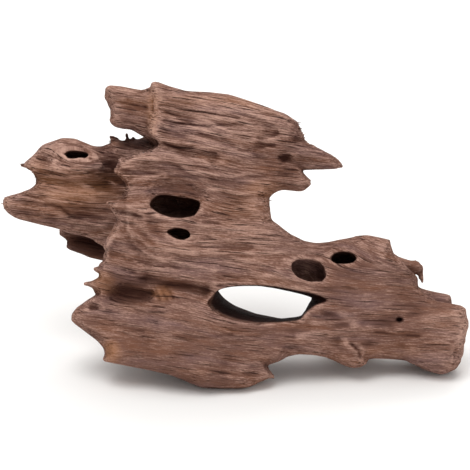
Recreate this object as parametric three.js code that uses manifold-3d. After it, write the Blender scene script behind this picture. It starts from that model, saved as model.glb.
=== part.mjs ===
// A piece of driftwood: one weathered, worm-holed root that stands on four worn feet and leans back.
// The wood is described in the frame of its broad face, in millimetres: u runs along the grain to the
// right, v up the face and w out of it. The finished piece has X along the wood, Y to the back and Z
// up, with its origin on the floor, under the middle of its box.

import * as THREE from "three";
import { mergeVertices } from "three/addons/utils/BufferGeometryUtils.js";
import Module from "manifold-3d";

// Driving dimensions
const LEAN_DEG = 20; // how far the face leans back from upright
const WORN_FLAT = 1.2; // how much of the lowest points is worn away where they meet the floor
const CENTRE = { x: 0, y: 52 }; // the middle of the wood's box before it is moved to the origin
const GRID = { u: 6.5, v: 5.3, near: 5.4, far: 9.5 }; // spacing of the grid that the surface is drawn on
const REACH = { low: [-166, -14, -128], high: [166, 212, 46] }; // the grid's corners, as [u, v, w]
const GRAIN_SLOPE = 0.13; // how far the grain falls for each millimetre to the right
const LUMP = { height: 1.2, across: 17, along: 46 }; // the soft swells that weather leaves on every side
const PIN_REACH = 17; // how far a lobe's pin holds its thickness
const BORE_SIDES = 12; // corners of an oval bore
const BORE_LIP = 10; // how far a bore's cutter stands out of the surface
const SPIKE_SIDES = 6; // corners of a splintered point

// Each lobe is a flake of the wood. Its outline is seen square to the face. A pin [u, v, depth, half,
// rim] says how deep the middle of the flake lies near that spot, half its thickness, and how wide its
// rounded edge is as a share of that half. A stroke is a ridge (height above 0) or a groove that
// follows its path; its two widths are how far it reaches to the right and to the left of someone who
// walks along the path.
const LOBES = {
  face: {
    blend: 0,
    outline: [
      [-54.5, 197], [-50, 197], [-43, 194.5], [-31.5, 191], [-18, 190], [-4.5, 188], [8.5, 184.5],
      [23, 180], [32, 176.5], [38.5, 172], [41.5, 166.5], [43.5, 159.5], [49.5, 155.5], [61.5, 150],
      [67, 145.5], [68.5, 143], [66.5, 141], [59, 140.5], [43.5, 140], [44, 137.5], [48, 133.5],
      [48.5, 130.5], [44, 126], [30.5, 127.5], [24, 125], [21, 122], [21, 117], [23.5, 108],
      [29, 104], [36.5, 98.5], [44, 94.5], [52, 93], [60, 93.5], [73.5, 96], [78.5, 97.5],
      [84.5, 98], [92, 96.5], [98.5, 95], [100, 91.5], [102, 86], [106, 82.5], [111, 77], [115, 73],
      [117, 70], [117.5, 65], [121, 60.5], [130, 55.5], [139.5, 54], [145.5, 53], [148.5, 50.5],
      [149, 46], [150, 38], [149, 30.5], [146.5, 22.5], [145.5, 16.5], [142.5, 12.5], [137.5, 9.5],
      [132.5, 8], [126, 9.5], [119.5, 12.5], [114, 15.5], [109, 17.5], [98.5, 18.5], [87.5, 19],
      [85, 18], [84, 15.5], [80.5, 13.5], [75.5, 13], [70.5, 14.5], [64.5, 17.5], [58, 20],
      [50.5, 21.5], [40.5, 22], [33.5, 20.5], [28, 17.5], [20, 15], [23, 9], [23.5, 7.5], [15.5, 4],
      [10, 1], [5.5, 0], [-14, 0], [-22, 0.5], [-27, 3], [-33.5, 6], [-43.5, 9.5], [-57, 12.5],
      [-73, 15.5], [-84.5, 17.5], [-82.5, 22.5], [-83.5, 26], [-89.5, 31.5], [-96, 36.5],
      [-101, 40.5], [-104.5, 43.5], [-104.5, 47.5], [-101, 52], [-95, 56.5], [-88, 60.5],
      [-88.5, 62.5], [-94.5, 67], [-86.5, 71.5], [-87, 74], [-89.5, 76.5], [-86.5, 78], [-87, 79.5],
      [-84, 82], [-83, 88], [-84, 90.5], [-83, 94], [-80, 99], [-75.5, 107.5], [-75.5, 111],
      [-81, 117.5], [-80.5, 119.5], [-71.5, 121.5], [-70, 127.5], [-70.5, 131], [-76, 137.5],
      [-77, 139.5], [-75, 142.5], [-74, 147.5], [-69, 148], [-61, 150], [-50.5, 156], [-55.5, 165],
      [-54.5, 172], [-52.5, 178.5], [-53, 185.5], [-55, 191],
    ],
    pins: [
      [-45, 185, -14, 18, 0.45], [-3, 168, -10, 21, 0.65], [29, 162, -16, 18, 0.6],
      [64, 144, -26, 9, 0.8], [42, 131, -18, 11, 0.6], [22, 117, -10, 16, 0.6],
      [-70, 114, 3, 14, 0.3], [-77, 82, -2, 15, 0.25], [-35, 85, 0, 24, 0.7], [10, 85, 0, 22, 0.7],
      [-99, 47, -2, 13, 0.5], [-90, 63, -4, 8, 0.35], [-74, 28, 2, 17, 0.45], [-29, 28, 5, 23, 0.5],
      [10, 12, 3, 17, 0.45], [22, 8, 2, 9, 0.4], [35, 31, -2, 15, 0.7], [80, 88, -12, 15, 0.6],
      [93, 63, -12, 20, 0.8], [77, 20, -10, 14, 0.6], [106, 28, -15, 17, 0.7],
      [134, 28, -18, 22, 0.65], [145, 47, -20, 14, 0.5], [115, 68, -16, 11, 0.6],
      [-68, 145, 0, 10, 0.35],
    ],
    strokes: [
      {
        height: 5,
        width: [9, 3],
        path: [[-80.5, 118], [-67, 117], [-55.5, 113], [-41.5, 108.5], [-22, 106]],
      },
      { height: 3, width: [7, 4], path: [[-22, 106], [5, 102], [25.5, 97.5]] },
      { height: 2.5, width: [3, 12], path: [[-53, 160], [-40, 157], [-31, 155], [-12.5, 153.5]] },
      { height: -3, width: [4, 2], path: [[-51, 156], [-40, 153.5], [-31, 152], [-13, 150.5]] },
      {
        height: 4,
        width: [7, 2.5],
        path: [[-76, 141.5], [-67, 145.5], [-59, 150], [-41, 148.5], [-20, 145]],
      },
      { height: 4, width: [2.5, 9], path: [[-62, 75], [-50, 73], [-38, 69], [-14, 67.5]] },
      { height: -7, width: [5, 3], path: [[-56, 71], [-38, 68], [-19, 64]] },
      { height: 3, width: [2.5, 2], path: [[-76, 112], [-80, 97], [-82, 84]] },
      { height: 3, width: [3, 4], path: [[-67, 115], [-67, 101], [-54, 89], [-35, 81], [-13, 76]] },
      { height: 2.5, width: [3, 3], path: [[-60, 113], [-59, 103], [-48, 93], [-26, 87.5]] },
      { height: 4, width: [2.5, 3], path: [[42, 46], [46, 52.5], [56, 54.5], [67, 50], [76, 42]] },
      { height: 3, width: [4, 3], path: [[42, 34], [75, 38], [104, 38]] },
      { height: 4, width: [6, 2.5], path: [[104, 39], [120, 44], [140, 47.5]] },
      { height: 3.5, width: [3, 3], path: [[71, 29], [78, 23], [84, 15]] },
      { height: -3, width: [5, 3], path: [[86, 28], [96, 25], [106, 27]] },
      { height: 4, width: [3, 5], path: [[-51, 193], [-52, 180], [-53, 166]] },
    ],
  },
  tab: {
    blend: 2,
    outline: [
      [-83, 191], [-82, 194.5], [-73.5, 194], [-65.5, 192.5], [-59.5, 191.5], [-54.5, 193.5],
      [-38.5, 188], [-36.5, 159], [-49.5, 155.5], [-62, 163], [-66.5, 166], [-72, 166.5], [-78, 168],
      [-81, 171.5], [-80, 174.5], [-80.5, 180], [-83, 185.5],
    ],
    pins: [[-78, 180, -16, 13, 0.35], [-45, 176, -14, 14, 0.5]],
    strokes: [{ height: -2, width: [3, 3], path: [[-80, 183], [-58, 180]] }],
  },
  arm: {
    blend: 3,
    outline: [
      [-150, 120.5], [-148.5, 123], [-137.5, 126], [-132.5, 128], [-129.5, 131.5], [-129.5, 135.5],
      [-132, 140], [-137, 143.5], [-131, 149.5], [-124, 157], [-111.5, 161], [-103.5, 160.5],
      [-91.5, 155.5], [-86, 155], [-80.5, 158.5], [-79.5, 161.5], [-75, 159.5], [-70.5, 159],
      [-54.5, 161.5], [-41.5, 152.5], [-41.5, 98.5], [-61, 88.5], [-84, 90.5], [-91.5, 95],
      [-97.5, 97.5], [-108.5, 100], [-113.5, 102], [-126, 105], [-139.5, 108.5], [-145.5, 111.5],
      [-149.5, 117.5],
    ],
    pins: [
      [-145, 118, -40, 8, 0.5], [-132, 144, -40, 7, 0.5], [-105, 152, -36, 14, 0.5],
      [-112, 115, -37, 15, 0.6], [-80, 130, -38, 18, 0.8], [-60, 130, -36, 20, 0.8],
    ],
    strokes: [
      { height: -7, width: [5, 4], path: [[-130, 134], [-106, 132], [-84, 131]] },
      { height: 3.5, width: [2.5, 8], path: [[-136, 142], [-122, 137], [-106, 136], [-90, 139]] },
      { height: -4, width: [7, 7], path: [[-78, 146], [-74, 134]] },
      { height: 3, width: [4, 3], path: [[-146, 118], [-118, 113], [-85, 104]] },
    ],
  },
  shell: {
    blend: 3,
    outline: [
      [-114, 98.5], [-113.5, 104], [-99, 104.5], [-67, 101.5], [-54.5, 88.5], [-61, 72.5],
      [-84, 81.5], [-94.5, 84], [-108, 88.5], [-109.5, 90.5], [-109, 95],
    ],
    pins: [[-98, 92, -63, 7, 0.5], [-60, 88, -52, 14, 1]],
    strokes: [],
  },
  splinter: {
    blend: 2,
    outline: [
      [86.5, 94], [98, 90], [106, 84], [114, 81.5], [119, 80], [121, 77.5], [121, 69], [119, 73.5],
      [116, 72.5], [109, 71], [96, 72.5],
    ],
    pins: [[95, 84, -40, 9, 0.8], [120, 76, -44, 5, 0.6]],
    strokes: [],
  },
  shoulder: {
    blend: 2,
    outline: [
      [109, 69.5], [117, 65.5], [120.5, 63.5], [129.5, 61.5], [137.5, 60], [139, 58], [139.5, 53.5],
      [141.5, 44], [131, 34.5], [112, 40.5],
    ],
    pins: [[125, 55, -38, 9, 0.5]],
    strokes: [],
  },
  rear: {
    blend: 9,
    outline: [
      [-54.5, 170], [-22.5, 181], [3, 177], [23.5, 168], [32, 156], [29, 138.5], [15.5, 128.5],
      [12.5, 114.5], [22.5, 99.5], [41.5, 88], [61, 86.5], [83, 89], [105.5, 77], [113.5, 63],
      [131, 49.5], [139, 40.5], [137, 24.5], [125, 17], [105.5, 24.5], [70.5, 25.5], [54.5, 27.5],
      [29, 27.5], [3, 23.5], [-22.5, 21], [-54.5, 24.5], [-75, 34.5], [-77, 56.5], [-75, 81],
      [-69.5, 101.5], [-66, 127],
    ],
    pins: [
      [-10, 158, -40, 17, 1.1], [-40, 110, -44, 22, 1.1], [-45, 60, -46, 24, 1.1],
      [20, 110, -40, 16, 1.1], [75, 70, -40, 16, 1.1], [10, 35, -34, 18, 1.1],
      [115, 50, -36, 13, 1], [125, 35, -36, 14, 1], [70, 40, -34, 16, 1],
    ],
    strokes: [],
  },
};

// Roots that run back and down to the floor: a round bar from [u, v, w] to [u, v, w] with a radius at
// each end.
const ROOTS = {
  rearLeft: { from: [-42, 82, -52], to: [-62, 48, -100], radius: [24, 13.5], blend: 14 },
  rearRight: { from: [66, 62, -38], to: [80, 32, -66], radius: [17, 10.5], blend: 10 },
};

// Soft hollows worn into the surface: a turned ellipsoid [u, v, w] with its half sizes.
const DENTS = {
  scoop: { centre: [-36, 127, 24], half: [24, 14, 18], tilt: -6, blend: 4 },
  leftRecess: { centre: [-67.5, 60, 19], half: [17, 7.5, 15], tilt: 0, blend: 2 },
  tipRecess: { centre: [37, 146, 4], half: [11, 4, 10], tilt: -12, blend: 2 },
  crownNotch: { centre: [-58, 155, 6], half: [9, 4, 12], tilt: 14, blend: 2 },
  armUnderside: { centre: [92, 19, 8], half: [13, 6, 10], tilt: 0, blend: 3 },
  waist: { centre: [104, 45, 11], half: [17, 5, 7], tilt: 6, blend: 3 },
  archPool: { centre: [62, 47, 14], half: [7, 3.5, 6], tilt: -10, blend: 2 },
  hookNotch: { centre: [14, 7, 22], half: [9, 8, 10], tilt: -30, blend: 3 },
  roughPatch: { centre: [-76, 139, -15], half: [12, 12, 10], tilt: 0, blend: 3 },
  backValley: { centre: [15, 94, -70], half: [52, 16, 22], tilt: -7, blend: 7 },
  backPocket: { centre: [-10, 52, -76], half: [26, 13, 22], tilt: -4, blend: 6 },
  backCrown: { centre: [-38, 152, -66], half: [28, 10, 14], tilt: -8, blend: 5 },
  backArm: { centre: [-104, 128, -60], half: [26, 9, 10], tilt: -4, blend: 4 },
};

// Bored holes: a tunnel from its mouth on the surface to its end. Its section is an outline, or an oval
// whose half sizes are [along the grain, across it].
const HOLES = {
  bigBore: {
    mouth: [-38.5, 115.5, 22],
    end: [-37, 115, -22],
    outline: [
      [-55, 117.5], [-53.5, 121], [-49.5, 124], [-43, 124], [-35.5, 122.5], [-28, 121.5], [-22.5, 119.5],
      [-23, 115], [-26, 110.5], [-33.5, 109], [-41, 109.5], [-48.5, 112], [-53, 115],
    ],
  },
  smallBore: {
    mouth: [-36.5, 99.5, 26],
    end: [-34, 99, 0],
    outline: [
      [-44.5, 100.5], [-41, 102.5], [-37, 103], [-31, 102], [-28.5, 99.5], [-28.5, 97], [-33.5, 95],
      [-38, 96], [-42, 98.5],
    ],
  },
  roundBore: {
    mouth: [47, 76, 12],
    end: [47.5, 73.5, -14],
    outline: [
      [36, 80.5], [40.5, 83], [48, 83], [54.5, 81.5], [57, 78], [58, 72.5], [55.5, 69.5], [47, 69],
      [39.5, 71.5], [36, 76],
    ],
  },
  darkBore: { mouth: [69.2, 84, 8], end: [71, 81.5, -26], half: [8.4, 3.7], tilt: 0 },
  armBore: { mouth: [-101.4, 150, -21], end: [-101, 148, -42], half: [8, 2.7], tilt: -3 },
  waistBore: { mouth: [104.8, 44, 8], end: [105.5, 44, -4], half: [1.9, 1.6], tilt: 0 },
  nubBore: { mouth: [-91, 52, 10], end: [-90, 52, 2], half: [3.3, 1.5], tilt: -8 },
  backBore: { mouth: [38, 146, -30], end: [28, 145, -12], half: [6, 4], tilt: 0 },
  backLowBore: { mouth: [-30, 84, -76], end: [-28, 88, -48], half: [9, 5.5], tilt: 0 },
};

// Splintered points: a thin cone [u, v, w] from its foot, inside the wood, to its tip.
const SPIKES = {
  crestTip: { foot: [-68, 116, 9], tip: [-81.5, 119, 6], radius: 5 },
  jagHigh: { foot: [-80, 78, -2], tip: [-90, 76.5, -4], radius: 3 },
  jagLong: { foot: [-80, 68, -2], tip: [-96, 67, -4], radius: 4.5 },
  jagLow: { foot: [-82, 58, -2], tip: [-89.5, 62.5, -4], radius: 3 },
  rightTip: { foot: [48, 149, -24], tip: [69, 142.5, -27], radius: 8 },
  armPoint: { foot: [-126, 142, -40], tip: [-138, 143.5, -40], radius: 5 },
  armTuft: { foot: [-76, 153, -36], tip: [-79.5, 162, -36], radius: 3.5 },
  armBarb: { foot: [-67, 154, -34], tip: [-66, 163.5, -33], radius: 3 },
  hookTip: { foot: [14, 12, 0], tip: [24.5, 7.5, 0], radius: 5 },
  darkBarb: { foot: [117, 79, -44], tip: [121.5, 68, -44], radius: 3 },
  windowBarb: { foot: [58, 50.5, -8], tip: [48, 55, -8], radius: 3 },
};

// The window goes right through: its rim on the face, then the narrower throat, then a way whose roof
// rises toward the back, so that a level path leads through the leaning wood.
const WINDOW = {
  rim: [
    [-18, 55], [-14.5, 59.5], [-11.5, 63], [-4.5, 65.5], [5, 66.5], [15.5, 66.5], [27.5, 65.5],
    [38, 63.5], [48, 62], [56.5, 60], [62, 57], [60, 54.5], [52.5, 54], [45, 48.5], [41.5, 44],
    [29, 42.5], [13.5, 41.5], [0.5, 43.5], [-8.5, 46.5], [-14.5, 50.5],
  ],
  throat: [
    [-11.5, 61], [-10.5, 63], [-7.5, 64], [-2.5, 65], [5, 65.5], [15.5, 65.5], [25.5, 64],
    [35, 62], [43.5, 60], [49.5, 58], [53.5, 55.5], [52, 54.5], [48.5, 54], [44, 48.5],
    [41.5, 44.5], [29, 43.5], [14.5, 45.5], [3, 48.5], [-4, 51.5], [-8.5, 54.5],
  ],
  rimAt: [60, 14], // w of the rim's outer and inner end
  throatAt: -14,
  backAt: -62,
  backSpread: [1.15, 1.8], // how much wider and taller the window is behind than at its throat
  depth: -130,
};

const smoothStep = (t) => THREE.MathUtils.smoothstep(t, 0, 1);

// Joins two distances so that their surfaces meet in a fillet about `blend` wide.
function smoothMin(a, b, blend) {
  if (blend <= 0) return Math.min(a, b);
  const h = Math.max(blend - Math.abs(a - b), 0) / blend;
  return Math.min(a, b) - (h * h * blend) / 4;
}

// Distance from (u, v) to the segment a-b.
function toSegment(u, v, [au, av], [bu, bv]) {
  const du = bu - au;
  const dv = bv - av;
  const t = THREE.MathUtils.clamp(((u - au) * du + (v - av) * dv) / (du * du + dv * dv), 0, 1);
  return Math.hypot(u - au - t * du, v - av - t * dv);
}

// How far (u, v) lies inside a closed outline; negative outside.
function inset(outline, u, v) {
  let nearest = Infinity;
  let inside = false;
  outline.forEach((a, i) => {
    const b = outline[(i + 1) % outline.length];
    nearest = Math.min(nearest, toSegment(u, v, a, b));
    const crossing = ((b[0] - a[0]) * (v - a[1])) / (b[1] - a[1]) + a[0];
    if (a[1] > v !== b[1] > v && u < crossing) inside = !inside;
  });
  return inside ? nearest : -nearest;
}

// Depth, half thickness and rim of a lobe at (u, v), averaged from its pins with the near ones first.
function thickness(pins, u, v) {
  let sum = 0;
  const mean = [0, 0, 0];
  for (const [pu, pv, ...values] of pins) {
    const weight = 1 / (1 + ((u - pu) ** 2 + (v - pv) ** 2) / PIN_REACH ** 2) ** 3;
    sum += weight;
    values.forEach((value, i) => {
      mean[i] += weight * value;
    });
  }
  const [depth, half, rim] = mean.map((value) => value / sum);
  return { depth, half, rim };
}

// Height of a lobe's ridges and grooves at (u, v).
function relief(strokes, u, v) {
  let height = 0;
  for (const stroke of strokes) {
    let nearest = Infinity;
    let onLeft = false;
    for (let i = 1; i < stroke.path.length; i++) {
      const [a, b] = [stroke.path[i - 1], stroke.path[i]];
      const d = toSegment(u, v, a, b);
      if (d >= nearest) continue;
      nearest = d;
      onLeft = (b[0] - a[0]) * (v - a[1]) > (b[1] - a[1]) * (u - a[0]);
    }
    height += stroke.height * Math.exp(-((nearest / stroke.width[onLeft ? 1 : 0]) ** 2));
  }
  return height;
}

// Distance to a round bar that tapers from one radius to the other.
function rootField({ from, to, radius }, p) {
  const axis = to.map((c, i) => c - from[i]);
  const reach = p.map((c, i) => c - from[i]);
  const dot = (a, b) => a[0] * b[0] + a[1] * b[1] + a[2] * b[2];
  const t = THREE.MathUtils.clamp(dot(reach, axis) / dot(axis, axis), 0, 1);
  const away = Math.hypot(...reach.map((c, i) => c - t * axis[i]));
  return away - THREE.MathUtils.lerp(radius[0], radius[1], t);
}

// Distance to a turned ellipsoid, near enough for a soft hollow.
function dentField({ centre, half, tilt }, [u, v, w]) {
  const turn = THREE.MathUtils.degToRad(tilt);
  const [cos, sin] = [Math.cos(turn), Math.sin(turn)];
  const [du, dv] = [u - centre[0], v - centre[1]];
  const local = [du * cos + dv * sin, dv * cos - du * sin, w - centre[2]];
  const scaled = Math.hypot(...local.map((c, i) => c / half[i]));
  const steep = Math.hypot(...local.map((c, i) => c / half[i] ** 2));
  return steep < 1e-6 ? -Math.min(...half) : (scaled * (scaled - 1)) / steep;
}

// The soft swells, longer along the grain than across it.
function lumps(u, v, w) {
  const s = (u * 2 * Math.PI) / LUMP.along;
  const across = ((v + GRAIN_SLOPE * u) * 2 * Math.PI) / LUMP.across;
  const out = (w * 2 * Math.PI) / LUMP.across;
  const wave =
    Math.sin(0.8 * s + 0.7 * across + 0.6) * Math.cos(0.9 * out - 0.3 * s + 1.1) +
    0.6 * Math.sin(0.37 * across - 0.5 * s + 0.41 * out + 2.3);
  return LUMP.height * wave;
}

// The wood along the line at (u, v): a function of w that is negative inside the wood.
function woodColumn(u, v) {
  const sections = Object.values(LOBES).map((lobe) => ({
    edge: inset(lobe.outline, u, v),
    height: relief(lobe.strokes, u, v),
    blend: lobe.blend,
    ...thickness(lobe.pins, u, v),
  }));
  return (w) => {
    let solid = Infinity;
    for (const { edge, height, rim, blend, depth, half } of sections) {
      const round = Math.max(0, 1 - edge / (half * rim));
      const lobe = (Math.hypot(round, (w - depth) / half) - 1) * half;
      solid = smoothMin(solid, lobe - height * smoothStep((w - depth) / half), blend);
    }
    const p = [u, v, w];
    for (const root of Object.values(ROOTS)) solid = smoothMin(solid, rootField(root, p), root.blend);
    solid -= lumps(u, v, w);
    for (const dent of Object.values(DENTS)) solid = -smoothMin(-solid, dentField(dent, p), dent.blend);
    return solid;
  };
}

// The corners of a grid cell, its edges as pairs of corners, and its faces as rings of corners.
const CORNERS = [...Array(8).keys()].map((i) => [i & 1, (i >> 1) & 1, (i >> 2) & 1]);
const EDGES = [1, 2, 4].flatMap((bit) =>
  [...Array(8).keys()].filter((i) => !(i & bit)).map((i) => [i, i | bit]),
);
const FACES = [
  [0, 1, 3, 2], [4, 5, 7, 6], [0, 1, 5, 4], [2, 3, 7, 6], [0, 2, 6, 4], [1, 3, 7, 5],
];
const edgeBetween = (a, b) => EDGES.findIndex(([p, q]) => (p === a && q === b) || (p === b && q === a));
const FACE_EDGES = FACES.map((ring) => ring.map((c, i) => edgeBetween(c, ring[(i + 1) % 4])));

// Groups a cell's crossed edges into separate sheets of surface. Returns the sheet of each edge, -1 if
// not crossed.
function sheetsOf(inside) {
  const sheet = EDGES.map(([a, b], i) => (inside[a] !== inside[b] ? i : -1));
  const join = (a, b) => {
    const [keep, drop] = [Math.min(sheet[a], sheet[b]), Math.max(sheet[a], sheet[b])];
    sheet.forEach((s, i) => {
      if (s === drop) sheet[i] = keep;
    });
  };
  FACES.forEach((ring, f) => {
    const crossed = FACE_EDGES[f].filter((e) => sheet[e] >= 0);
    if (crossed.length === 2) join(...crossed);
    if (crossed.length < 4) return;
    ring.forEach((corner, i) => {
      if (inside[corner]) join(FACE_EDGES[f][i], FACE_EDGES[f][(i + 3) % 4]);
    });
  });
  return sheet;
}

// Draws the surface where the field is zero: one vertex for each sheet in a cell, one quad for each
// crossed edge. axes holds the grid's places along u, v and w.
function surfaceOf(column, axes) {
  const size = axes.map((axis) => axis.length);
  const at = (i, j, k) => (i * size[1] + j) * size[2] + k;
  const values = new Float64Array(size[0] * size[1] * size[2]);
  axes[0].forEach((u, i) =>
    axes[1].forEach((v, j) => {
      const field = column(u, v);
      axes[2].forEach((w, k) => {
        values[at(i, j, k)] = field(w);
      });
    }),
  );

  const positions = [];
  const vertexOf = new Map();
  for (let i = 0; i < size[0] - 1; i++)
    for (let j = 0; j < size[1] - 1; j++)
      for (let k = 0; k < size[2] - 1; k++) {
        const corner = CORNERS.map(([a, b, c]) => values[at(i + a, j + b, k + c)]);
        const inside = corner.map((value) => value < 0);
        if (inside.every((s) => s === inside[0])) continue;
        const sheet = sheetsOf(inside);
        for (const s of new Set(sheet.filter((e) => e >= 0))) {
          const mean = [0, 0, 0];
          const edges = EDGES.filter((_, e) => sheet[e] === s);
          for (const [a, b] of edges) {
            const t = corner[a] / (corner[a] - corner[b]);
            CORNERS[a].forEach((c, m) => {
              mean[m] += (c + t * (CORNERS[b][m] - c)) / edges.length;
            });
          }
          sheet.forEach((e, n) => {
            if (e === s) vertexOf.set(at(i, j, k) * 12 + n, positions.length / 3);
          });
          [i, j, k].forEach((c, m) =>
            positions.push(THREE.MathUtils.lerp(axes[m][c], axes[m][c + 1], mean[m])),
          );
        }
      }

  const triangles = [];
  const gap = (a, b) =>
    Math.hypot(...[0, 1, 2].map((m) => positions[a * 3 + m] - positions[b * 3 + m]));
  for (let axis = 0; axis < 3; axis++) {
    const [p, q] = [(axis + 1) % 3, (axis + 2) % 3];
    for (let i = 1; i < size[0] - 1; i++)
      for (let j = 1; j < size[1] - 1; j++)
        for (let k = 1; k < size[2] - 1; k++) {
          const next = [i, j, k];
          next[axis] += 1;
          const here = values[at(i, j, k)] < 0;
          if (here === values[at(...next)] < 0) continue;
          const ring = [[0, 0], [1, 0], [1, 1], [0, 1]].map(([a, b]) => {
            const cell = [i, j, k];
            cell[p] -= a;
            cell[q] -= b;
            const from = (a << p) | (b << q);
            return vertexOf.get(at(...cell) * 12 + edgeBetween(from, from | (1 << axis)));
          });
          if (!here) ring.reverse();
          const [a, b, c, d] = ring;
          if (gap(a, c) < gap(b, d)) triangles.push(a, b, c, a, c, d);
          else triangles.push(a, b, d, b, c, d);
        }
  }
  return { positions, triangles };
}

// Slides each vertex onto the surface, by no more than `most`.
function settle(positions, column, most) {
  const NUDGE = 0.4;
  const ROUNDS = 3;
  for (let n = 0; n < positions.length; n += 3) {
    const start = new THREE.Vector3().fromArray(positions, n);
    const p = start.clone();
    for (let round = 0; round < ROUNDS; round++) {
      const along = column(p.x, p.y);
      const value = along(p.z);
      const slope = new THREE.Vector3(
        column(p.x + NUDGE, p.y)(p.z) - value,
        column(p.x, p.y + NUDGE)(p.z) - value,
        along(p.z + NUDGE) - value,
      ).divideScalar(NUDGE);
      p.addScaledVector(slope, -value / Math.max(slope.lengthSq(), 0.25));
      p.sub(start).clampLength(0, most).add(start);
    }
    p.toArray(positions, n);
  }
}

// A closed tube through rings of points, with a fan over each end. Each ring runs the same way round.
function tubeThrough(rings) {
  const sides = rings[0].length;
  const middle = (ring) => ring.reduce((sum, p) => sum.add(p), new THREE.Vector3()).divideScalar(sides);
  const points = [...rings.flat(), middle(rings[0]), middle(rings.at(-1))];
  const index = [];
  for (let i = 0; i < sides; i++) {
    const next = (i + 1) % sides;
    for (let r = 0; r + 1 < rings.length; r++) {
      const [a, b, c, d] = [r * sides + i, r * sides + next, (r + 1) * sides + i, (r + 1) * sides + next];
      index.push(a, b, c, b, d, c);
    }
    const last = (rings.length - 1) * sides;
    index.push(points.length - 2, next, i, points.length - 1, last + i, last + next);
  }
  return new THREE.BufferGeometry().setFromPoints(points).setIndex(index);
}

// An oval's outline round the origin, turned by tilt degrees.
function oval([along, across], tilt) {
  const turn = new THREE.Vector2();
  return [...Array(BORE_SIDES).keys()].map((i) => {
    const angle = (i / BORE_SIDES) * 2 * Math.PI;
    turn.set(along * Math.cos(angle), across * Math.sin(angle));
    return turn.rotateAround(new THREE.Vector2(), THREE.MathUtils.degToRad(tilt)).toArray();
  });
}

// The cutter of a bored hole: a tunnel with a rounded end.
function boreCutter({ mouth, end, outline, half, tilt }) {
  const from = new THREE.Vector3(...mouth);
  const way = new THREE.Vector3(...end).sub(from);
  const outside = from.clone().addScaledVector(way.clone().normalize(), -BORE_LIP);
  const section = outline ? outline.map(([u, v]) => [u - mouth[0], v - mouth[1]]) : oval(half, tilt);
  const ringAt = (centre, share) =>
    section.map(([u, v]) => new THREE.Vector3(u * share, v * share, 0).add(centre));
  const stations = [[0, 1], [0.7, 0.95], [0.93, 0.65], [1, 0.3]];
  const rings = stations.map(([t, share]) => ringAt(from.clone().addScaledVector(way, t), share));
  return tubeThrough([ringAt(outside, 1.1), ...rings]);
}

// A splintered point: a cone with a blunt tip.
function spikeOf({ foot, tip, radius }) {
  const [from, to] = [new THREE.Vector3(...foot), new THREE.Vector3(...tip)];
  const turn = new THREE.Quaternion().setFromUnitVectors(
    new THREE.Vector3(0, 0, 1),
    to.clone().sub(from).normalize(),
  );
  const ringAt = (centre, size) =>
    [...Array(SPIKE_SIDES).keys()].map((i) => {
      const angle = (i / SPIKE_SIDES) * 2 * Math.PI;
      return new THREE.Vector3(size * Math.cos(angle), size * Math.sin(angle), 0)
        .applyQuaternion(turn)
        .add(centre);
    });
  return tubeThrough([ringAt(from, radius), ringAt(to, radius / 8)]);
}

// The cutter of the window.
function windowCutter({ rim, throat, rimAt, throatAt, backAt, backSpread, depth }) {
  const flat = (outline, w) => outline.map(([u, v]) => new THREE.Vector3(u, v, w));
  const middle = throat.reduce((sum, [u]) => sum + u / throat.length, 0);
  const sill = Math.min(...throat.map(([, v]) => v)) - 1;
  const wide = throat.map(([u, v]) => [
    middle + (u - middle) * backSpread[0],
    sill + (v - sill) * backSpread[1],
  ]);
  return tubeThrough([
    flat(rim, rimAt[0]),
    flat(rim, rimAt[1]),
    flat(throat, throatAt),
    flat(wide, backAt),
    flat(wide, depth),
  ]);
}

const wasm = await Module();
wasm.setup();

// A geometry as a manifold-3d solid, facing out whichever way its faces run.
function solidOf(geometry) {
  const merged = mergeVertices(geometry.clone().deleteAttribute("normal").deleteAttribute("uv"), 1e-4);
  const make = (triVerts) =>
    new wasm.Manifold(
      new wasm.Mesh({ numProp: 3, vertProperties: merged.attributes.position.array, triVerts }),
    );
  const solid = make(new Uint32Array(merged.index.array));
  if (solid.volume() > 0) return solid;
  return make(new Uint32Array(merged.index.array).reverse());
}

// The largest connected body of a solid: crumbs that the grid cut loose are left out.
function largestBody(solid) {
  return solid.decompose().sort((a, b) => b.volume() - a.volume())[0];
}

// The turn from the face's frame to the standing piece, and the move to its origin.
const standing = new THREE.Matrix4()
  .makeTranslation(-CENTRE.x, -CENTRE.y, -WORN_FLAT)
  .multiply(new THREE.Matrix4().makeRotationX(THREE.MathUtils.degToRad(90 - LEAN_DEG)));

// The grid's places along one axis: evenly spaced, or wider step by step toward the low end.
function places(low, high, near, far = near) {
  const found = [high];
  while (found[0] > low) {
    const step = THREE.MathUtils.mapLinear(found[0], high, low, near, far);
    found.unshift(found[0] - step);
  }
  return found;
}

const axes = [
  places(REACH.low[0], REACH.high[0], GRID.u),
  places(REACH.low[1], REACH.high[1], GRID.v),
  places(REACH.low[2], REACH.high[2], GRID.near, GRID.far),
];
const { positions, triangles } = surfaceOf(woodColumn, axes);
settle(positions, woodColumn, GRID.v / 2);
const grown = new THREE.BufferGeometry()
  .setAttribute("position", new THREE.Float32BufferAttribute(positions, 3))
  .setIndex(triangles);

let wood = solidOf(grown);
for (const spike of Object.values(SPIKES)) wood = wood.add(solidOf(spikeOf(spike)));
for (const bore of Object.values(HOLES)) wood = wood.subtract(solidOf(boreCutter(bore)));
wood = wood.subtract(solidOf(windowCutter(WINDOW)));
wood = wood.transform(standing.elements);
const floor = new THREE.BoxGeometry(500, 500, 60).translate(0, 0, -30);
wood = largestBody(wood.subtract(solidOf(floor)));

const cut = wood.getMesh();
const geometry = new THREE.BufferGeometry()
  .setAttribute("position", new THREE.BufferAttribute(new Float32Array(cut.vertProperties), 3))
  .setIndex(new THREE.BufferAttribute(new Uint32Array(cut.triVerts), 1));
geometry.computeVertexNormals();

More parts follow.
